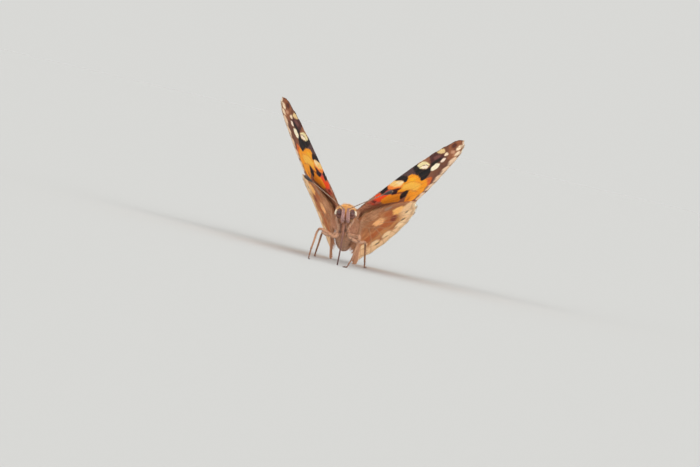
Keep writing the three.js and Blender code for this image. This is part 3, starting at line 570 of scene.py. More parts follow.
def hind_under(points, edge):
    p = Paint(points, (180, 112, 68), 37, 0.2)
    s, t = p.at.T
    cloud = lattice(s * 0.75, t * 0.75, 5) + 0.6 * lattice(s * 1.7, t * 1.7, 6)
    p.lay((cloud - 0.05) / 0.5, (210, 146, 90), 0.45)
    p.lay((-cloud - 0.25) / 0.4, (142, 86, 54), 0.5)
    p.lay(1.6 - np.hypot(s, t) / 6, (168, 110, 74), 0.85)
    p.patch([(4.4, 0.6), (6.6, 2.4), (8.8, 4.6), (11.2, 7.8), (11.8, 9.8), (10.4, 9.0), (8.2, 6.2),
             (6.2, 4.6), (4.8, 2.8)], (156, 98, 64), 0.6, 0.8)
    p.patch([(5.8, 2.8), (7.2, 3.6), (7.8, 4.8), (6.6, 4.4)], (160, 122, 100), 0.4)
    p.patch([(2.4, 1.6), (3.8, 2.4), (4.4, 4.8), (3.2, 4.4)], (202, 148, 108), 0.5, 0.8)
    p.patch([(3.3, 6.6), (5.0, 6.4), (6.0, 8.6), (5.7, 10.4), (4.2, 9.4)], (252, 184, 122), 0.45)
    p.patch([(8.0, 6.4), (9.8, 7.4), (11.2, 9.6), (10.6, 11.2), (9.0, 10.8), (8.0, 8.8)],
            (255, 188, 106), 0.5)
    p.patch([(5.8, 5.2), (7.6, 6.2), (8.4, 9.6), (9.8, 12.0), (8.6, 14.4), (6.4, 13.8), (4.0, 14.6),
             (1.6, 14.6), (1.4, 12.6), (4.6, 11.8), (6.6, 9.4)], (180, 94, 46), 0.6, 0.85)
    p.patch([(7.5, 10.0), (8.9, 10.6), (9.9, 12.6), (9.1, 13.8), (7.9, 12.6)], (128, 56, 38), 0.5, 0.9)
    p.patch([(9.4, 10.6), (11.6, 11.4), (11.4, 13.4), (9.9, 15.0), (7.4, 16.4), (4.2, 17.0), (2.6, 16.2),
             (5.6, 15.2), (8.4, 14.4)], (206, 142, 82), 0.7, 0.7)
    p.lay((4.4 - edge) / 1.4 * (t > 8.5) * (s > -0.6), (244, 200, 152), 0.95)
    for x, y, wide in ((12.3, 14.4, 0.9), (10.2, 17.4, 1.1), (6.9, 18.2, 1.0), (4.1, 18.4, 1.0),
                       (1.2, 15.8, 0.8)):
        p.spot(x, y, wide, 1.3, (255, 220, 172), turn=-30, soft=0.5, amount=0.85)
    for (x, y), size, amount in zip(
        ((11.5, 13.0), (10.7, 15.9), (9.0, 18.1), (6.9, 19.3), (4.7, 19.9), (2.1, 19.6)),
        (0.34, 0.55, 0.32, 0.36, 0.58, 0.28), (0.5, 0.7, 0.4, 0.4, 0.7, 0.4),
    ):
        eyespot(p, x, y, size, 40, amount)
    for x, y in between(HIND_ENDS, HIND_CENTRE, 1.45)[:-1]:
        p.spot(x, y, 0.35, 0.6, (176, 142, 120), turn=0, soft=0.3, amount=0.6)
    p.lay((2.1 - edge) / 1.2, (222, 180, 138), 0.7)
    p.lay(1 - np.abs(edge - 1.15) / 0.2, (176, 132, 98), 0.5)
    p.lay((0.8 - edge) / 0.2, (238, 208, 170), 0.85)
    p.lay((0.8 - s) / 1.4, (184, 134, 104), 0.85)
    p.at = points
    for vein in HIND_VEINS:
        p.stroke(vein, 0.2, (222, 176, 132), 0.2, 0.35)
    return p


def hind_upper(points, edge):
    p = Paint(points, (232, 124, 54), 53)
    s, t = p.at.T
    p.lay(1.55 - np.hypot(s - 0.5, t) / 7.2, (118, 84, 54), 0.95)
    p.lay((1.6 - s) / 1.2, (196, 152, 116), 0.9)
    p.patch([(1, -0.5), (4.5, 1.2), (8, 4.0), (11.4, 7.8), (12.6, 10.2), (11.0, 10.6), (7.0, 6.6),
             (3.0, 3.6)], (150, 128, 106), 0.6, 0.9)
    p.patch([(8.2, 6.6), (10.4, 8.6), (10.8, 10.4), (8.4, 11.9), (6.4, 12.2), (6.8, 9.2)],
            (32, 22, 22), 0.4)
    for x, y, size in ((11.6, 12.5, 0.45), (11.2, 15.0, 0.75), (9.6, 17.2, 0.72), (7.4, 18.7, 0.75),
                       (4.9, 19.5, 0.82), (2.4, 19.4, 0.4)):
        p.spot(x, y, size, 0.9 * size, INK, soft=0.14)
    inner, outer = (between(HIND_ENDS, HIND_CENTRE, inset) for inset in (1.9, 1.0))
    for (x, y), (a, b) in zip(inner, outer):
        p.spot(x, y, 0.38, 0.75, INK, turn=math.degrees(math.atan2(b - y, a - x)), soft=0.2)
    p.lay((0.7 - edge) / 0.15, (222, 190, 156), 0.95)
    p.spot(0.7, 20.6, 0.5, 0.35, (96, 110, 140), soft=0.3, amount=0.8)
    return p


# Length of the fringe, half thickness of the plate and step of the points round it.
FRINGE, PLATE, EDGE_STEP = 0.42, 0.065, 0.12
wing_finish = finish_material("wing_scales", 0.78, (8000, 0.2), specular=0.18,
                              bump=(("cells", 11000, 0.000015), ("noise", 2500, 0.00003)))
hair_finish = finish_material("wing_hair", 0.7, (9000, 0.2), specular=0.2)
FORE_PLAN = {
    "costa": FORE_COSTA, "ends": FORE_ENDS, "inner": FORE_INNER, "veins": FORE_VEINS,
    "surface": fore_surface, "centre": FORE_CENTRE, "depth": 0.15, "paint": (fore_upper, fore_under),
}
HIND_PLAN = {
    "costa": HIND_COSTA, "ends": HIND_ENDS, "inner": HIND_INNER, "veins": HIND_VEINS,
    "surface": hind_surface, "centre": HIND_CENTRE, "depth": 0.28, "paint": (hind_upper, hind_under),
}
PLANS = {"forewing": FORE_PLAN, "hindwing": HIND_PLAN}


def wing_edges(plan):
    """Outline's margin, and the ring of the plate, which ends a fringe's length inside it."""
    margin = spline(scalloped(plan["ends"], plan["centre"], plan["depth"]), step=EDGE_STEP)
    steps = np.arange(len(margin))
    fade = np.clip(np.minimum(steps, steps[::-1]) / 10, 0, 1)
    hem = margin + unit(plan["centre"] - margin) * (FRINGE * fade)[:, None]
    costa, inner = (spline(plan[name], step=EDGE_STEP) for name in ("costa", "inner"))
    return margin, hem, np.vstack([costa[:-1], hem[:-1], inner])


def wing_map(points, ring, upper):
    """Place on the wing's own map, the upper side beside the under side."""
    low, high = ring.min(0), ring.max(0)
    size = max(high - low) * 2.1
    return 0.01 + (points - low) / size + [0 if upper else 0.5, 0]


def to_ring(points, ring):
    return to_line(points, np.vstack([ring, ring[:1]]))


def filled(ring, step):
    """Even triangles over the inside of a ring of points."""
    low, high = ring.min(0), ring.max(0)
    xs, ys = np.arange(low[0], high[0], step), np.arange(low[1], high[1], 0.87 * step)
    grid = np.stack(np.meshgrid(xs, ys), -1)
    grid[1::2, :, 0] += step / 2
    grid = grid.reshape(-1, 2)
    grid = grid[within(grid, ring)]
    grid = grid[to_ring(grid, ring) > 0.6 * step]
    seam = [(k, (k + 1) % len(ring)) for k in range(len(ring))]
    verts = [Vector(v) for v in np.vstack([ring, grid])]
    points, _, faces, *_ = delaunay_2d_cdt(verts, seam, [], 1, 1e-7)
    return np.array([tuple(v) for v in points]), np.array(faces)


def wing_plate(plan, side, margin, ring):
    """Thin plate with raised veins, painted on both faces."""
    surface = plan["surface"]
    points, faces = filled(ring, 0.12)
    edge = to_line(points, margin)
    vein_gap = np.min([to_line(points, spline(v, step=0.5)) for v in plan["veins"]], axis=0)
    half = PLATE * (0.35 + 0.65 * np.clip(to_ring(points, ring) / 0.2, 0, 1)) + 0.055 * bell(vein_gap, 0.11)
    pleat = 0.07 * np.exp(-vein_gap / 0.5) - 0.03
    normal = surface_normal(surface, points, side)
    bed = surface(points, side) + normal * pleat[:, None]
    verts = np.vstack([on_side(bed + way * normal * half[:, None], side) for way in (1, -1)])
    fine = 1 + 0.08 * lattice(points[:, 0] * 9, points[:, 1] * 9, 3)
    colours = [mix(painter(points, edge).rgb, linear((116, 74, 48)), 0.3 * bell(vein_gap, 0.1))
               * fine[:, None] for painter in plan["paint"]]
    uv = [wing_map(points, ring, upper) for upper in (True, False)]
    # Edges of one triangle only are the rim, which a strip closes.
    n = len(points)
    pairs = np.concatenate([faces[:, [0, 1]], faces[:, [1, 2]], faces[:, [2, 0]]])
    pairs, counts = np.unique(np.sort(pairs, axis=1), axis=0, return_counts=True)
    a, b = pairs[counts == 1].T
    strip = [np.stack([a, b, b + n], 1), np.stack([a, b + n, a + n], 1)]
    return verts, np.concatenate([faces, faces[:, ::-1] + n, *strip]), np.vstack(colours), np.vstack(uv)


def wing_fringe(plan, side, margin, hem, ring):
    """Fringe of long scales, pale with darker tufts at the vein ends."""
    surface = plan["surface"]
    count = 1500
    k = np.sort(rng.uniform(8, len(margin) - 9, count))
    i, f = np.floor(k).astype(int), (k % 1)[:, None]
    root_at, tip_at = (line[i] * (1 - f) + line[i + 1] * f for line in (hem, margin))
    root_at = root_at + 0.25 * (root_at - tip_at)
    tip_at = root_at + (tip_at - root_at) * rng.uniform(0.8, 1.0, (count, 1))
    lift = surface_normal(surface, root_at, side) * rng.uniform(-0.05, 0.05, (count, 1))
    near = np.min([np.linalg.norm(tip_at - end, axis=1) for end in plan["ends"]], axis=0)
    tone = mix(linear((240, 222, 198)), linear((124, 88, 66)), 0.5 * smooth_step((0.9 - near) / 0.4))
    tone = tone * rng.uniform(1.15, 1.55, (count, 1))
    root = on_side(surface(root_at, side) + lift, side)
    way = on_side(surface(tip_at, side), side) - root
    long = np.linalg.norm(way, axis=1)
    return blades(root, way, long, 0.13, tone, wing_map(root_at, ring, True), (0, 0, 0), 1.05, 0.25)


def add_wing(kind, side):
    plan, name = PLANS[kind], f"{kind}_{side}"
    margin, hem, ring = wing_edges(plan)
    parts = [wing_plate(plan, side, margin, ring), wing_fringe(plan, side, margin, hem, ring)]
    add_piece(name, parts, wing_finish, [name])


def add_hair(name, side, root, way, length, wide, rgb, uv, bend, tip_light=1.25):
    """Hair on a wing, from roots and ways in body axes of the left side."""
    start = on_side(root, side)
    way = on_side(root + unit(way), side) - start
    hair = blades(start, way, length, wide, rgb, uv, bend, tip_light)
    add_piece(f"hair_{name}_{side}", [hair], hair_finish, smooth=False)


# Hair of each wing face: how many, where it may root, how long it is and its tint.
WING_HAIR = (
    ("forewing", "upper", 1600, lambda u, v: 1.1 - u / 5.5, 1.2, (150, 108, 66)),
    ("forewing", "under", 1100, lambda u, v: 1.1 - u / 3.4, 0.8, (176, 122, 90)),
    ("hindwing", "upper", 3400, lambda s, t: 1.2 - np.minimum(np.hypot(s, t) / 9, (s + 1.2) / 3),
     1.5, (150, 112, 76)),
    ("hindwing", "under", 2200, lambda s, t: 1.1 - np.hypot(s, t) / 5.5, 1.0, (190, 150, 116)),
)


def wing_hair(side, kind, face, count, chance, long, tone):
    """Long hair near the wing's root and inner edge, lying outwards along the wing."""
    plan, upper = PLANS[kind], face == "upper"
    surface, painter = plan["surface"], plan["paint"][0 if upper else 1]
    margin, _, ring = wing_edges(plan)
    count = count
    low, high = ring.min(0), ring.max(0)
    at = low + rng.random((count * 40, 2)) * (high - low)
    at = at[rng.random(len(at)) < chance(*at.T)]
    at = at[within(at, ring)][:count]
    normal = surface_normal(surface, at, side) * (1 if upper else -1)
    out = unit(at - ring[0]) + [0.25, 0] + 0.18 * rng.normal(size=at.shape)
    way = unit(surface(at + 0.05 * out, side) - surface(at, side))
    way = way + normal * rng.uniform(0.06, 0.3, (len(at), 1))
    rgb = mix(painter(at, to_line(at, margin)).rgb, linear(tone), 0.45)
    rgb = rgb * rng.uniform(0.75, 1.35, (len(at), 1))
    length = long * rng.uniform(0.6, 1.15, len(at))
    down = on_side(0 * normal, side) - on_side(normal, side)
    add_hair(f"{kind}_{face}", side, surface(at, side) + 0.04 * normal, way, length, 0.04, rgb,
             wing_map(at, ring, upper), 0.1 * down)


def fold_hair(side):
    """Long hair from the hind wing's inner edge, lying on towards the belly."""
    count = 3600
    edge_line = spline(HIND_INNER + HIND_COSTA[:3], step=EDGE_STEP)
    at = edge_line[rng.integers(4, len(edge_line) - 1, count)]
    at = at + [1, 0] * rng.uniform(0.05, 1.3, (count, 1))
    here, normal = hind_surface(at, side), surface_normal(hind_surface, at, side)
    inward = unit(hind_surface(at - [0.3, 0], side) - here)
    way = inward + [-0.5, 0.35, 0.1] + 0.14 * rng.normal(size=(count, 3)) - 0.12 * normal
    beyond_hem = np.full(count, 3)
    rgb = hind_under(at, beyond_hem).rgb * rng.uniform(0.7, 1.35, (count, 1))
    s, t = at.T
    length = rng.uniform(0.6, 1.6, count) * (1.15 + 0.6 * lattice(t * 1.6, s, 9))
    length *= (1 - 0.6 * smooth_step((t - 7) / 6)) * (1 + 0.45 * bell(t - 4, 2.5))
    uv = wing_map(at, wing_edges(HIND_PLAN)[2], False)
    add_hair("fold", side, here - 0.05 * normal, way, length, 0.045, rgb, uv,
             (0, 0, -0.05), 1.1)


def make_wings():
    for side in SIDES:
        for kind in PLANS:
            add_wing(kind, side)
        fold_hair(side)
        for row in WING_HAIR:
            wing_hair(side, *row)


def loft_faces(rows, sides):
    """Triangles round a loft, row by row, with its two ends about the last two points."""
    a = np.arange(sides)
    b = (a + 1) % sides
    faces = []
    for low in range(0, (rows - 1) * sides, sides):
        high = low + sides
        faces += [np.stack([low + a, high + a, high + b], 1), np.stack([low + a, high + b, low + b], 1)]
    n = rows * sides
    faces += [np.stack([a, b, a * 0 + n], 1), np.stack([n - sides + b, n - sides + a, a * 0 + n + 1], 1)]
    return np.concatenate(faces)


def rod(line, radii, sides):
    """Closed tapered tube; also gives each vertex's run along it and turn about it."""
    ways = unit(np.gradient(line, axis=0))
    normal = np.cross(ways[0], (0.31, 0.2, 0.93))
    if np.linalg.norm(normal) < 0.1:
        normal = np.cross(ways[0], (1, 0, 0))
    verts = []
    angles = np.arange(sides) * 2 * math.pi / sides
    for at, way, radius in zip(line, ways, radii):
        normal = unit(normal - way * (normal @ way))
        other = np.cross(way, normal)
        verts.append(at + radius * (np.cos(angles)[:, None] * normal + np.sin(angles)[:, None] * other))
    verts = np.vstack(verts + [line[:1], line[-1:]])
    runs = np.append(np.repeat(np.linspace(0, 1, len(line)), sides), [0, 1])
    turns = np.append(np.tile(angles, len(line)), [0, 0])
    return verts, loft_faces(len(line), sides)[:, ::-1], runs, turns


def blades(roots, ways, lengths, widths, colours, uv, bend, tip_light=1.25, flat=0.45):
    """Thin tapered tufts that leave their roots along ways and bend over.

    Each has seven points: three round its root, three halfway and its tip.
    """
    count = len(roots)
    lengths, widths = np.broadcast_to(lengths, count), np.broadcast_to(widths, count)
    ways, bend = unit(ways), np.asarray(bend)
    side = unit(np.cross(ways, rng.normal(size=(count, 3))))
    lift = np.cross(ways, side)
    middle = roots + (0.5 * ways + 0.25 * bend) * lengths[:, None]
    tip = roots + (ways + bend) * lengths[:, None]
    verts = np.zeros((count, 7, 3))
    for k, (c, s) in enumerate(((1, 0), (-0.5, 0.87), (-0.5, -0.87))):
        across = side * c + lift * (s * flat)
        verts[:, k] = roots + across * (0.5 * widths)[:, None]
        verts[:, k + 3] = middle + across * (0.42 * widths)[:, None]
    verts[:, 6] = tip
    one = [(0, 1, 4), (0, 4, 3), (1, 2, 5), (1, 5, 4), (2, 0, 3), (2, 3, 5), (3, 4, 6), (4, 5, 6),
           (5, 3, 6), (0, 2, 1)]
    faces = (np.arange(count)[:, None, None] * 7 + np.array(one)).reshape(-1, 3)
    # Painted shade and light: every tuft's root is painted darker and its tip lighter.
    tones = np.array([0.72] * 3 + [1.0] * 3 + [tip_light])
    shade = colours[:, None, :] * tones[None, :, None]
    patch = 0.0015 * np.array([(-1, -1), (1, -1), (0, -0.6), (-0.8, 0.2), (0.8, 0.2), (0, 0.4), (0, 1)])
    spread = uv[:, None, :] + patch
    return verts.reshape(-1, 3), faces, shade.reshape(-1, 3), spread.reshape(-1, 2)


# Body skin: head, neck, thorax, waist and abdomen as one surface under the coat. Stations are
# (back, centre, half width, top, bottom); the abdomen's are (share of its length, half width)
# and the head has half sizes (x, back, top, bottom).
THORAX = np.array([
    [-3.45, -0.55, 0.95, 1.15, 0.85], [-3.15, -0.45, 1.35, 1.55, 1.3], [-2.5, -0.2, 1.85, 2.15, 2.0],
    [-1.6, 0, 2.2, 2.6, 2.65], [-0.4, 0, 2.42, 2.85, 3.0], [0.9, 0, 2.42, 2.8, 3.0],
    [2.1, 0, 2.2, 2.45, 2.6], [3.0, 0, 1.9, 2.05, 2.05], [3.6, 0, 1.6, 1.7, 1.6],
])
ABDOMEN_FROM, ABDOMEN_LONG, SEGMENTS = 3.9, 12.3, 8
ABDOMEN_WIDTH = np.array([
    [0, 1.38], [0.08, 1.62], [0.2, 1.8], [0.38, 1.85], [0.58, 1.72], [0.76, 1.42], [0.88, 1.04],
    [0.96, 0.66], [1, 0.36],
])
HEAD_SIZE = (1.55, 1.38, 1.75, 1.55)
NECK = [(-4.6, -0.75, 0.85, 0.85, 0.8), (-3.9, -0.68, 0.85, 0.9, 0.8), (-3.2, -0.6, 0.9, 1.0, 0.8),
        (-2.6, -0.4, 1.1, 1.2, 1.0)]
WAIST = [(3.1, 0, 1.3, 1.35, 1.3), (3.7, -0.05, 1.18, 1.22, 1.15), (4.4, -0.1, 1.3, 1.3, 1.25)]
# How far the coat stands over the skin, and how wide the body's own map is.
COAT, MAP_WIDE = {"thorax": 0.42, "abdomen": 0.12, "head": 0.3}, 0.6


def tube(stations, sides=40):
    """Loft through (back, centre, half width, top, bottom), closed at both ends."""
    angles = np.arange(sides) * 2 * math.pi / sides
    c, s = np.cos(angles), np.sin(angles)
    verts = [np.stack([wide * c, back + 0 * c, centre + np.where(s > 0, top, bottom) * s], 1)
             for back, centre, wide, top, bottom in stations]
    ends = [[0, *stations[k][:2]] for k in (0, -1)]
    return np.vstack(verts + [ends]), loft_faces(len(stations), sides)


def ball(sizes, sides=32, rows=20):
    """Ellipsoid with half sizes (x, back, top, bottom)."""
    wide, deep, top, bottom = sizes
    stations = []
    for a in np.linspace(0.06, math.pi - 0.06, rows):
        r = math.sin(a)
        stations.append((-deep * math.cos(a), 0, wide * r, top * r, bottom * r))
    return tube(stations, sides)


def abdomen_skin():
    """The abdomen under its scales, drawn in at the seams between its segments."""
    rows = []
    for t in np.linspace(0, 1, 120):
        seam = (t * SEGMENTS) % 1
        swell = 1 - 0.045 * math.exp(-((min(seam, 1 - seam) / 0.07) ** 2)) + 0.02 * seam
        wide = np.interp(t, *ABDOMEN_WIDTH.T) * swell - COAT["abdomen"]
        back, centre = ABDOMEN_FROM - 0.25 + (ABDOMEN_LONG + 0.1) * t, -0.45 * math.sin(math.pi * t * 0.9)
        rows.append((back, centre, wide, 1.04 * wide, 0.98 * wide))
    return tube(rows, 48)


def body_shapes():
    """Shapes that overlap to make the body, each closed: (verts, faces) in body axes."""
    thin = THORAX.copy()
    thin[:, 2:] = np.maximum(0.35, thin[:, 2:] - COAT["thorax"])
    thin[0, 0], thin[-1, 0] = -3.3, 3.75
    head, head_faces = ball(np.array(HEAD_SIZE) - COAT["head"])
    shapes = [tube(spline(thin, count=40)), abdomen_skin(), (roll_head(head), head_faces)]
    shapes += [tube(spline(stations, count=8)) for stations in (NECK, WAIST)]
    for m in SIDES.values():
        shoulder, faces = ball((0.6, 1.5, 0.62, 0.62), 20, 12)
        shapes.append((shoulder + [1.5 * m, 0.1, 1.3], faces))
        orbit_ball, faces = ball((0.55, 0.72, 0.78, 0.78), 20, 12)
        shapes.append((roll_head(orbit_ball + [1.02 * m, 0.1, -0.05]), faces))
    return shapes


def fused_skin(voxel):
    """Union of the body's shapes, remeshed to even faces and smoothed, in body axes."""
    verts, faces = join(body_shapes())
    mesh = bpy.data.meshes.new("raw_skin")
    mesh.from_pydata(verts.tolist(), [], faces.tolist())
    raw = new_object("raw_skin", mesh)
    remesh = raw.modifiers.new("remesh", "REMESH")
    remesh.mode, remesh.voxel_size = "VOXEL", voxel
    soften = raw.modifiers.new("soften", "SMOOTH")
    soften.factor, soften.iterations = 0.5, 4
    split = raw.modifiers.new("split", "TRIANGULATE")
    split.quad_method = "BEAUTY"
    made = raw.evaluated_get(bpy.context.evaluated_depsgraph_get()).to_mesh()
    points = np.empty(3 * len(made.vertices))
    made.vertices.foreach_get("co", points)
    tris = np.empty(3 * len(made.polygons), np.int32)
    made.polygons.foreach_get("vertices", tris)
    bpy.data.objects.remove(raw)
    bpy.data.meshes.remove(mesh)
    return points.reshape(-1, 3), tris.reshape(-1, 3)


def body_unwrap(p):
    """Place on the body's own map: round it, and along it from the face to the tail."""
    x, back, up = (p - [0, 0, -0.4]).T
    centre = np.interp(back, [-4.75, -2.5, 4, 10, 16], [-0.35, 0.2, 0.4, 0, 0.2])
    turn = np.arctan2(x, centre - up) / (2 * math.pi) + 0.5
    behind = back - HEAD_CENTRE[1]
    cap = 1.45 * np.arctan2(np.hypot(x, up - centre), np.clip(-behind, 0, None) + 1e-6)
    run = np.where(behind < 0, cap, 2.28 + behind)
    return np.stack([0.03 + MAP_WIDE * turn, 0.03 + run / 24.5], 1)


def abdomen_colour(back, rise, upper):
    """Dark above with a golden hem to each segment, pale below, and a line between them."""
    seam = (np.clip((back - ABDOMEN_FROM) / ABDOMEN_LONG, 0, 1) * SEGMENTS) % 1
    above, hem = smooth_step(0.42 + 1.3 * rise), 0.75 * bell(1 - seam, 0.16)
    rgb = mix(linear((104, 66, 44)), linear((72, 48, 34)), upper)
    rgb = mix(linear((202, 148, 112)), rgb, above)
    rgb = mix(rgb, linear((196, 140, 84)), hem * above)
    return mix(rgb, linear((110, 74, 50)), 0.5 * bell(rise + 0.05, 0.12) * (1 - hem))


def eye_rim(p, m):
    """How white the hair is round an eye: most of all outside it."""
    away = p - roll_head(EYE_AT * [m, 1, 1])
    reach = np.linalg.norm(away / [0.95, 1.05, 1.12], axis=1)
    return bell(reach - 1, 0.16) * (0.25 + 0.75 * smooth_step((m * away[:, 0] + 0.1) / 0.5))


def body_colour(p, normal):
    """Scale and hair colours over the body, from its place and the way it faces."""
    x, back, up = p.T
    rise, aside, around = normal[:, 2], np.abs(x - 0.1), np.arctan2(x, up)
    upper = smooth_step(0.5 + 0.75 * rise)
    rgb = mix(linear((200, 144, 112)), linear((134, 86, 54)), upper)
    gold = smooth_step((0.6 - back) / 2) * smooth_step(2.2 - aside) * upper
    rgb = mix(rgb, linear((204, 150, 84)), 0.8 * gold)
    shoulder = smooth_step((aside - 1.2) / 0.6) * smooth_step((0.8 - back) / 1.5) * upper
    rgb = mix(rgb, linear((146, 102, 64)), 0.5 * shoulder)
    rgb = mix(rgb, linear((184, 128, 94)), 0.45 * bell(rise, 0.35) * (back < 3.6))
    rgb = mix(rgb, abdomen_colour(back, rise, upper), smooth_step((back - 3.4) / 0.8))
    head = smooth_step((-3.5 - back) / 0.5)
    face = smooth_step(HEAD_CENTRE[2] - 0.1 - up)
    rgb = mix(rgb, mix(linear((212, 156, 84)), linear((184, 124, 92)), face), head)
    rim = np.maximum(eye_rim(p, 1), eye_rim(p, -1))
    rgb = mix(rgb, linear((255, 240, 216)), 0.9 * rim * head)
    tone = 0.16 * lattice(back * 1.3 + 5, around * 2.2, 71) + 0.12 * lattice(back * 4.1, around * 7, 72)
    return rgb * (1 + tone)[:, None]


skin_finish = finish_material("skin", 0.7, (6000, 0.3), sheen=0.2,
                              bump=(("noise", 3000, 0.00006), ("cells", 14000, 0.00002)))
coat_finish = finish_material("coat", 0.6, (9000, 0.3), sheen=0.3, specular=0.35)


def vertex_normals(points, tris):
    a, b, c = points[tris].transpose(1, 0, 2)
    face = np.cross(b - a, c - a)
    normals = np.zeros_like(points)
    for k in range(3):
        np.add.at(normals, tris[:, k], face)
    return unit(normals), np.linalg.norm(face, axis=1) / 2


skin_points, skin_tris = fused_skin(0.11)
skin_normals, skin_areas = vertex_normals(skin_points, skin_tris)


def add_skin():
    # The skin under the coat is painted darker than the hair over it, as painted shade.
    colours = body_colour(skin_points, skin_normals) * 0.8
    piece = mesh_object("skin", place(skin_points), skin_tris, colours)
    uv = body_unwrap(skin_points)[skin_tris]
    # Corners beyond the map's seam come round to the side of their first corner.
    uv[:, 1:, 0] -= MAP_WIDE * np.round((uv[:, 1:, 0] - uv[:, :1, 0]) / MAP_WIDE)
    finish_piece(piece, uv, skin_finish, ("head", "thorax", "abdomen"))


add_skin()


def roots_on_skin(chance, count):
    """Seeded roots spread over the skin, as dense as chance says there."""
    weight = skin_areas * chance(skin_points[skin_tris].mean(1))
    pick = rng.choice(len(skin_tris), count, p=weight / weight.sum())
    a, b = rng.random((2, count))
    flip = a + b > 1
    a, b = np.where(flip, 1 - a, a)[:, None], np.where(flip, 1 - b, b)[:, None]
    corners, ways = skin_points[skin_tris[pick]], skin_normals[skin_tris[pick]]
    at = corners[:, 0] * (1 - a - b) + corners[:, 1] * a + corners[:, 2] * b
    way = unit(ways[:, 0] * (1 - a - b) + ways[:, 1] * a + ways[:, 2] * b)
    return at, way


def clear_of_eyes(p):
    return np.all([np.linalg.norm((p - roll_head(EYE_AT * [m, 1, 1])) / [0.86, 0.96, 1.02], axis=1) > 1
                   for m in SIDES.values()], axis=0)


WHITE_HAIR = (255, 240, 218)


def coat(name, count, chance, lie, long, wide, lift, bend=0.12, spread=0.25, whiteness=0):
    """Tufts over part of the skin. lie gives the way they point, lift how far they stand."""
    at, normal = roots_on_skin(chance, count)
    keep = clear_of_eyes(at)
    at, normal = at[keep], normal[keep]
    way = lie(at)
    way = unit(way - normal * np.sum(way * normal, axis=1)[:, None])
    stand = np.broadcast_to(lift(at) if callable(lift) else lift, len(at))[:, None]
    way = way + normal * stand + spread * rng.normal(size=way.shape)
    length = (long(at) if callable(long) else long) * rng.uniform(0.65, 1.15, len(at))
    colours = mix(body_colour(at, normal), linear(WHITE_HAIR), whiteness)
    colours = colours * rng.uniform(0.75, 1.3, (len(at), 1))
    down = -bend * normal + 0.05 * rng.normal(size=normal.shape)
    verts, *rest = blades(at - 0.06 * normal, way, length, wide, colours, body_unwrap(at), down)
    add_piece(name, [(place(verts), *rest)], coat_finish, smooth=False)


def backwards(p):
    """Hair lies back along the body, and upwards over the front of the thorax."""
    front = smooth_step((-p[:, 1] - 0.6) / 1.4)
    return np.stack([(0.12 - 0.25 * front) * p[:, 0], np.ones(len(p)), front - 0.1], 1)


def down_flank(p):
    """Hair under the wings lies back, down and outwards."""
    return np.stack([0.65 * p[:, 0], np.full(len(p), 0.8), np.full(len(p), -0.7)], 1)


def from_face(p):
    """Head hair runs up from the face over the crown, and fans out over the eyes."""
    x, back, up = (p - HEAD_CENTRE).T
    high = smooth_step((up - 0.1) / 0.6)
    rise = np.where(up > -1.15, 0.6, -0.6)
    return np.stack([(0.9 + 1.5 * high) * x, 0.25 + 0.25 * back - 0.3 * high, rise], 1)


def hood(p):
    """Length of the head hair: short on the face, long on the crown and above the eyes."""
    x, _, up = (p - HEAD_CENTRE).T
    brow = smooth_step((up - 0.25) / 0.5) * smooth_step((np.abs(x) - 0.35) / 0.5)
    return 0.4 + 0.3 * smooth_step((p[:, 2] + 0.9) / 1.2) + 0.5 * brow


def orbit(p):
    """Where the white hair behind the outer side of each eye roots."""
    x, back, up = (p - HEAD_CENTRE).T
    return (np.abs(x) > 0.95) * (back > -0.1) * (back < 1.3) * (np.abs(up + 0.1) < 1.0)


def outwards(p):
    x, _, up = (p - HEAD_CENTRE).T
    return np.stack([2.2 * np.sign(x), np.full(len(p), -0.9), 0.9 * up], 1)


def flank(p):
    """Length of the lower thorax hair: longest towards the wings."""
    return 0.95 + 0.3 * lattice(p[:, 0], p[:, 1], 6) + 0.75 * smooth_step((np.abs(p[:, 0]) - 1.2) / 0.7)


coat("coat_thorax_upper", 19500, lambda p: (np.abs(p[:, 1]) < 4) * (p[:, 2] > 0.2), backwards,
     lambda p: 1.15 + 0.4 * lattice(p[:, 0], p[:, 1], 5), 0.045, 0.14, 0.2, 0.16)
coat("coat_thorax_lower", 19500, lambda p: (np.abs(p[:, 1]) < 4) * (p[:, 2] <= 0.3), down_flank,
     flank, 0.045, 0.28)
coat("coat_abdomen", 19500, lambda p: p[:, 1] > 3.6, backwards,
     lambda p: 0.5 + 0.55 * smooth_step((6.5 - p[:, 1]) / 3), 0.06, 0.1, 0.05, 0.1)
coat("coat_head", 15000, lambda p: p[:, 1] < -3.5, from_face, hood, 0.032,
     lambda p: 0.6 - 0.25 * smooth_step((p[:, 2] - HEAD_CENTRE[2]) / 0.8), 0.05, 0.22)
coat("coat_orbits", 2600, orbit, outwards, 0.9, 0.036, 0.25, 0.0, 0.16, whiteness=0.6)


def add_eyes():
    """Fine facets over a deep brown, banded ball."""
    finish = finish_material("eye", 0.5, (1400, 0.3), (("cells", 26000, 0.000008),), coat=0.06)
    verts, faces = ball((*EYE_SIZE, EYE_SIZE[2]), 56, 40)
    x, back, up = (verts / EYE_SIZE).T
    # The bands are the eye's own pattern; the upper half is also painted lighter, as painted light from
    # above.
    shade = (1 + 0.25 * np.sin(9 * up + 2 * back)) * (1 + 0.3 * smooth_step(0.8 * up))
    uv = 0.5 + 0.45 * np.stack([back, up], 1) * (1 - 0.3 * np.abs(x))[:, None]
    uv[:, 0] = uv[:, 0] * 0.5 + np.where(x > 0, 0.5, 0)
    for side, m in SIDES.items():
        part = on_head(verts + EYE_AT * [m, 1, 1]), faces, linear((82, 42, 36)) * shade[:, None], uv
        add_piece(f"eye_{side}", [part], finish, [f"eye_{side}"])


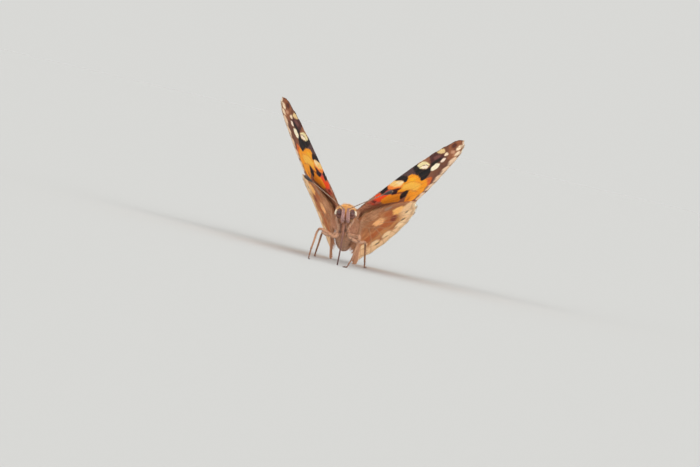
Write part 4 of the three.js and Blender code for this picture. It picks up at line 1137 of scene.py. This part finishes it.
def add_lashes():
    """Hair that grows over each eye's rim: golden above, white outside, tan below."""
    count = 4400
    turn = rng.uniform(0, 2 * math.pi, count)
    out, up = np.cos(turn), np.sin(turn)
    low = np.clip(-up, 0, 1)
    white = smooth_step((out - 0.35) / 0.4) * smooth_step((up + 0.5) / 0.3)
    white = white * (1 - smooth_step((up - 0.4) / 0.35))
    # Every other hair fans away from the eye instead, except below it.
    fan = (np.arange(count) % 2 == 0) & (up > -0.5)
    for side, m in SIDES.items():
        root = np.stack([m * (EYE_AT[0] + 0.74 * out), -0.32 + rng.uniform(-0.15, 0.2, count) - 0.1 * low,
                         EYE_AT[2] + (0.92 + 0.06 * low) * up], 1)
        inwards = np.stack([m * -0.3 * out, -0.7 + 0.2 * low, -0.55 * up], 1)
        away = np.stack([m * 0.9 * out, np.full(count, -0.15), 0.9 * up], 1)
        long = rng.uniform(0.28, 0.55, count) * np.where(fan, 0.48, 1)
        way = np.where(fan[:, None], away, inwards) + 0.14 * rng.normal(size=root.shape)
        tone = np.where(up[:, None] > 0, linear((216, 158, 84)), linear((150, 100, 82)))
        tone = mix(tone, linear(WHITE_HAIR), white) * rng.uniform(0.75, 1.25, (count, 1))
        start, uv = on_head(root), body_unwrap(roll_head(root))
        hair = blades(start, on_head(root + way) - start, long, 0.035, tone, uv, (0, 0, -0.04), 1.15)
        add_piece(f"coat_lashes_{side}", [hair], coat_finish, smooth=False)


add_eyes()
add_lashes()
make_wings()

limb_finish = finish_material("limb", 0.5, (7000, 0.3), (("noise", 6000, 0.00004),), sheen=0.15)


def strip_uv(run, turn, low=0.02, high=0.98):
    return np.stack([low + (high - low) * run, 0.05 + 0.9 * turn / (2 * math.pi)], 1)


def mixed(run, stops):
    """Colour along a run from (place, colour) stops."""
    where, colours = zip(*stops)
    return np.stack([np.interp(run, where, channel) for channel in linear(colours).T], 1)


def round_path(path, k):
    """Spots k steps along a path, the way it runs there and seeded ways out from it."""
    i = np.floor(k).astype(int)
    f = (k - i)[:, None]
    way = unit(path[i + 1] - path[i])
    return path[i] * (1 - f) + path[i + 1] * f, way, unit(np.cross(way, rng.normal(size=way.shape)))


PALP_PATH = np.array([[0.34, -0.1, -0.95], [0.42, -0.62, -1.5], [0.5, -1.2, -1.85], [0.5, -1.75, -1.5],
                      [0.46, -2.1, -0.75], [0.42, -2.35, 0.2]])
PALP_RADII = [(0, 0.18), (0.2, 0.19), (0.4, 0.19), (0.6, 0.2), (0.75, 0.2), (0.9, 0.17), (1, 0.06)]
PALP_TONES = [(0, (206, 166, 150)), (0.4, (198, 156, 146)), (0.75, (184, 140, 134)), (1, (150, 100, 90))]
PALP_STEPS = 36


def add_palps():
    """Palps curve up before the face under a coat of narrow scales."""
    radii = np.interp(np.linspace(0, 1, PALP_STEPS + 1), *np.array(PALP_RADII).T)
    count = 4200
    for side, m in SIDES.items():
        path = on_head(spline(PALP_PATH * [m, 1, 1], count=PALP_STEPS))
        verts, faces, run, turn = rod(path, radii, 14)
        parts = [(verts, faces, mixed(run, PALP_TONES), strip_uv(run, turn))]
        k = rng.uniform(0.03, 0.97, count) * PALP_STEPS
        at, way, out = round_path(path, k)
        at = at + 0.85 * out * np.interp(k, np.arange(PALP_STEPS + 1), radii)[:, None]
        run = k / PALP_STEPS
        way = way + 0.42 * out + 0.15 * rng.normal(size=out.shape)
        tone = mixed(run, PALP_TONES) * rng.uniform(0.7, 1.3, (count, 1))
        uv = strip_uv(run, rng.uniform(0, 6.2, count))
        long = rng.uniform(0.24, 0.5, count) * np.interp(run, [0, 0.5, 1], [1.0, 0.85, 0.5])
        parts.append(blades(at, way, long, 0.042, tone, uv, (0, 0, -0.05)))
        add_piece(f"palp_{side}", parts, coat_finish, [f"palp_{side}"])


ANTENNA, ANTENNA_RING, ANTENNA_RISE = 11.4, 0.36, {"left": 0.1, "right": 0.27}


def add_antennae():
    """Ringed shafts with a dark club, paler at its tip."""
    t = np.linspace(0, 1, 150)
    run = t * ANTENNA
    radii = 0.08 + 0.01 * np.cos(run / ANTENNA_RING * 2 * math.pi)
    radii = radii + 0.24 * smooth_step((run - ANTENNA + 2.5) / 1.4)
    radii *= np.sqrt(np.clip((ANTENNA + 0.05 - run) / 0.7, 0.0, 1)) + 0.02
    radii[:4] = [0.2, 0.2, 0.17, 0.13]
    for side, m in SIDES.items():
        way = unit(np.array([0.66, -0.71, ANTENNA_RISE[side]]))
        path = [0.34, -0.72, 0.62] + run[:, None] * (way + t[:, None] * [0.03, 0.02, 0])
        verts, faces, along, turn = rod(on_head(path * [m, 1, 1]), radii, 12)
        far = along * ANTENNA
        ring = (0.5 + 0.5 * np.cos(far / ANTENNA_RING * 2 * math.pi)) ** 2
        rgb = mix(linear((84, 58, 46)), linear((186, 154, 126)), ring)
        rgb = mix(rgb, linear((40, 26, 24)), smooth_step((far - ANTENNA + 3.0) / 1.2))
        rgb = mix(rgb, linear((150, 112, 80)), 0.7 * smooth_step((far - ANTENNA + 0.2) / 0.2))
        name = f"antenna_{side}"
        add_piece(name, [(verts, faces, rgb, strip_uv(along, turn))], limb_finish, [name])


def add_proboscis():
    """Two joined halves with a groove between them and fine rings."""
    start = on_head([[0, 0.3, -1.1], [-0.04, 0.05, -1.75]])
    rest = [[0.42, -5.65, 7.4], [0.54, -5.95, 6.3], [0.66, -6.2, 4.8], [0.78, -6.3, 2.9],
            [0.84, -6.1, 0.8], [0.86, -5.95, -0.4]]
    line = spline(np.vstack([start, rest]), count=170)
    line = line[line[:, 2] > 0.02]
    run = np.linspace(0, 1, len(line))
    radii = np.interp(run, [0, 0.3, 1], [0.2, 0.165, 0.13]) * (1 + 0.05 * np.cos(run * 420))
    verts, faces, along, turn = rod(line, radii, 24)
    groove = bell(np.mod(turn, math.pi) - math.pi / 2, 0.3)[:, None]
    inner = line[np.round(along * (len(line) - 1)).astype(int)]
    verts = verts - (verts - inner) * 0.3 * groove
    verts[:, 2] = np.maximum(verts[:, 2], 0.0)
    # The groove is also painted darker, as painted shade.
    rgb = mixed(along, [(0, (150, 96, 66)), (0.4, (112, 66, 52)), (1, (72, 42, 38))]) * (1 - 0.4 * groove)
    part = verts, faces, rgb, strip_uv(along, turn)
    add_piece("proboscis", [part], limb_finish, ["proboscis"])


add_palps()
add_antennae()
add_proboscis()


# Legs: points in body axes, then points over the floor; a side that isn't given mirrors the
# left one. Radii, joints and bristles lie at shares of the leg's run; the bristles have a
# first and last share, a count and a length.
LEGS = {
    "foreleg": {
        "left": ([(1.0, -2.1, -1.2), (1.6, -2.85, -1.15), (1.58, -3.2, -1.75), (1.28, -3.42, -2.7),
                  (1.0, -3.48, -3.4), (0.85, -3.72, -3.85), (0.72, -4.0, -3.65), (0.66, -4.05, -3.2),
                  (0.64, -4.05, -2.8)], []),
        "right": ([(-1.0, -2.1, -1.3), (-1.42, -2.85, -1.45), (-1.22, -3.2, -2.1), (-0.85, -3.35, -2.9),
                   (-0.4, -3.48, -3.75), (-0.1, -3.75, -4.3), (-0.1, -4.12, -4.0), (-0.18, -4.2, -3.4),
                   (-0.3, -4.18, -2.85)], []),
        "radii": [(0, 0.24), (0.3, 0.2), (0.6, 0.16), (0.75, 0.14), (0.9, 0.12), (1, 0.08)],
        "joints": (0.14, 0.68), "bristles": (0.15, 0.98, 1300, 0.34),
        "tones": [(0, (190, 144, 116)), (0.6, (206, 160, 128)), (0.68, (126, 82, 60)), (1, (132, 90, 68))],
    },
    "midleg": {
        "left": ([(0.8, -0.2, -2.2), (1.1, -0.6, -3.0), (1.5, -1.2, -3.45)],
                 [(2.6, -2.9, 5.9), (3.55, -4.3, 6.0), (3.68, -4.9, 5.3), (3.6, -5.7, 3.9),
                  (3.4, -6.6, 2.3), (3.1, -7.3, 1.1), (2.75, -8.1, 0.4), (2.45, -9.1, 0.21),
                  (2.25, -9.9, 0.19)]),
        "right": ([(-0.8, -0.2, -2.2), (-0.78, -0.6, -3.3)],
                  [(-0.72, -2.55, 5.2), (-1.15, -2.75, 4.95), (-2.0, -3.1, 5.25), (-3.3, -3.6, 5.72),
                   (-4.05, -4.0, 5.72), (-4.32, -4.45, 5.1), (-4.4, -5.2, 3.8), (-4.5, -6.0, 2.4),
                   (-4.55, -6.8, 1.2), (-4.5, -7.7, 0.42), (-4.35, -8.7, 0.21), (-4.2, -9.6, 0.19)]),
        "radii": [(0, 0.34), (0.25, 0.29), (0.42, 0.21), (0.47, 0.2), (0.7, 0.16), (0.78, 0.13),
                  (0.97, 0.1), (1, 0.07)],
        "joints": (0.1, 0.44, 0.74, 0.83, 0.89, 0.94), "bristles": (0.02, 0.42, 700, 0.3),
    },
    "hindleg": {
        "left": ([(0.75, 2.2, -1.7), (1.2, 2.7, -2.35), (2.2, 3.9, -2.45), (3.3, 5.7, -1.9)],
                 [(4.1, 6.9, 4.9), (4.3, 7.6, 4.3), (4.5, 8.7, 2.8), (4.7, 9.8, 1.4), (4.85, 10.8, 0.5),
                  (4.95, 12.0, 0.22), (5.0, 13.4, 0.19), (5.0, 14.3, 0.19)]),
        "radii": [(0, 0.34), (0.25, 0.29), (0.46, 0.21), (0.5, 0.2), (0.72, 0.16), (0.78, 0.13),
                  (0.97, 0.1), (1, 0.07)],
        "joints": (0.1, 0.47, 0.74, 0.82, 0.88, 0.94), "bristles": (0.02, 0.44, 700, 0.3),
    },
}
LEG_STEPS = 110


def leg_tones(knee):
    return [(0, (180, 132, 102)), (knee - 0.08, (192, 142, 108)), (knee, (138, 92, 62)),
            (knee + 0.12, (158, 112, 78)), (0.8, (128, 82, 54)), (1, (84, 52, 40))]


def leg_line(leg, side):
    """Even points down the leg, its last joints laid on the floor."""
    flip = [SIDES[side], 1, 1]
    body, floor = leg[side] if side in leg else [np.multiply(points, flip) for points in leg["left"]]
    line = spline(np.vstack([place(body), *([floor] if len(floor) else [])]), count=LEG_STEPS)
    radii = np.interp(np.linspace(0, 1, len(line)), *np.array(leg["radii"]).T)
    return line, radii, len(floor) > 0


def claw(tip, way, sign):
    """One of the two curved claws at a foot's tip, by places (along, aside, up) from there."""
    places = np.array([(-0.05, 0, 0), (0.08, 0.07, 0.05), (0.17, 0.1, 0.02), (0.2, 0.09, -0.05)])
    hook = tip + places @ np.array([way, sign * np.cross(way, (0, 0, 1)), (0, 0, 1)])
    hook[:, 2] = np.maximum(hook[:, 2], 0.012)
    verts, faces, run, turn = rod(spline(hook, count=8), np.linspace(0.035, 0.008, 9), 6)
    return verts, faces, mixed(run, [(0, (70, 42, 34)), (1, (30, 18, 16))]), strip_uv(run, turn, 0.98, 1)


def add_leg(kind, side):
    leg = LEGS[kind]
    line, radii, stands = leg_line(leg, side)
    run = np.linspace(0, 1, len(line))
    pinch, swell = (sum(bell(run - j + ahead, wide) for j in leg["joints"])
                    for ahead, wide in ((0, 0.009), (0.018, 0.012)))
    radii = radii * (1 - 0.28 * pinch + 0.1 * swell)
    on_floor = smooth_step((0.9 - line[:, 2]) / 0.5)
    line[:, 2] -= (line[:, 2] - radii) * on_floor
    knee = leg["joints"][1]
    tones = leg.get("tones") or leg_tones(knee)
    verts, faces, along, turn = rod(line, radii, 14)
    rgb = mixed(along, tones)
    for joint in leg["joints"]:
        rgb = rgb * (1 - 0.45 * bell(along - joint, 0.012))[:, None]
    parts = [(verts, faces, rgb, strip_uv(along, turn))]

    def bristles(low, high, count, long, wide, stand, tone):
        k = rng.uniform(low, high, count) * (LEG_STEPS - 0.1)
        at, way, out = round_path(line, k)
        at = at + 0.85 * out * np.interp(k / LEG_STEPS, run, radii)[:, None]
        colour = mixed(k / LEG_STEPS, tones) * rng.uniform(0.75, 1.3, (count, 1)) * tone
        uv = strip_uv(k / LEG_STEPS, rng.uniform(0, 6.2, count))
        length = long * rng.uniform(0.6, 1.2, count)
        if stands:
            length = np.minimum(length, np.maximum(0.04, at[:, 2] / 1.2))
        parts.append(blades(at, way + stand * out, length, wide, colour, uv, (0, 0, 0)))

    low, high, count, long = leg["bristles"]
    bristles(low, high, count, long, 0.05, 0.35, 1.05)
    if stands:
        bristles(knee, 0.97, 110, 0.26, 0.035, 1.0, 0.6)
        bristles(knee, 0.97, 500, 0.14, 0.04, 0.3, 0.9)
        parts += [claw(line[-1], unit(line[-1] - line[-4]), sign) for sign in (1, -1)]
    add_piece(f"{kind}_{side}", parts, limb_finish, [f"{kind}_{side}"])


for kind in LEGS:
    for side in SIDES:
        add_leg(kind, side)

# Floor and soft light. The world is as bright as the lit floor, so no horizon shows.
FLOOR_TONE, SKY = 0.5, 0.69
FLOOR_REACH, FLOOR_SIDES = 20, 96
SUNS = (
    ("key", (0.60, -0.68, 0.42), 2.2, 50),
    ("fill", (-0.60, -0.68, 0.42), 1.7, 50),
    ("top", (-0.15, 0.45, 0.88), 0.6, 60),
)


def make_floor():
    turns = np.arange(FLOOR_SIDES) * 2 * math.pi / FLOOR_SIDES
    ring = [(FLOOR_REACH * math.cos(a), FLOOR_REACH * math.sin(a), 0) for a in turns]
    mesh = bpy.data.meshes.new("floor")
    faces = [(0, k + 1, (k + 1) % FLOOR_SIDES + 1) for k in range(FLOOR_SIDES)]
    mesh.from_pydata([(0, 0, 0)] + ring, [], faces)
    mat = bpy.data.materials.new("floor")
    mat.use_nodes = True
    fill_in(mat.node_tree, mat.node_tree.nodes["Principled BSDF"],
            {"Base Color": (FLOOR_TONE, FLOOR_TONE, 0.985 * FLOOR_TONE, 1), "Roughness": 1,
             "Specular IOR Level": 0})
    mesh.materials.append(mat)
    floor = new_object("floor", mesh)


def make_light():
    world = bpy.data.worlds.new("studio")
    world.use_nodes = True
    world.node_tree.nodes["Background"].inputs["Color"].default_value = (SKY, SKY, 0.9705 * SKY, 1)
    bpy.context.scene.world = world
    for name, way, power, wide in SUNS:
        data = bpy.data.lights.new(name, "SUN")
        data.energy, data.angle = power, rad(wide)
        lamp = new_object(name, data)
        lamp.location = way
        lamp.rotation_mode = "QUATERNION"
        lamp.rotation_quaternion = Vector(way).to_track_quat("Z", "Y")
    bpy.context.scene.view_settings.view_transform = "Standard"


make_floor()
make_light()
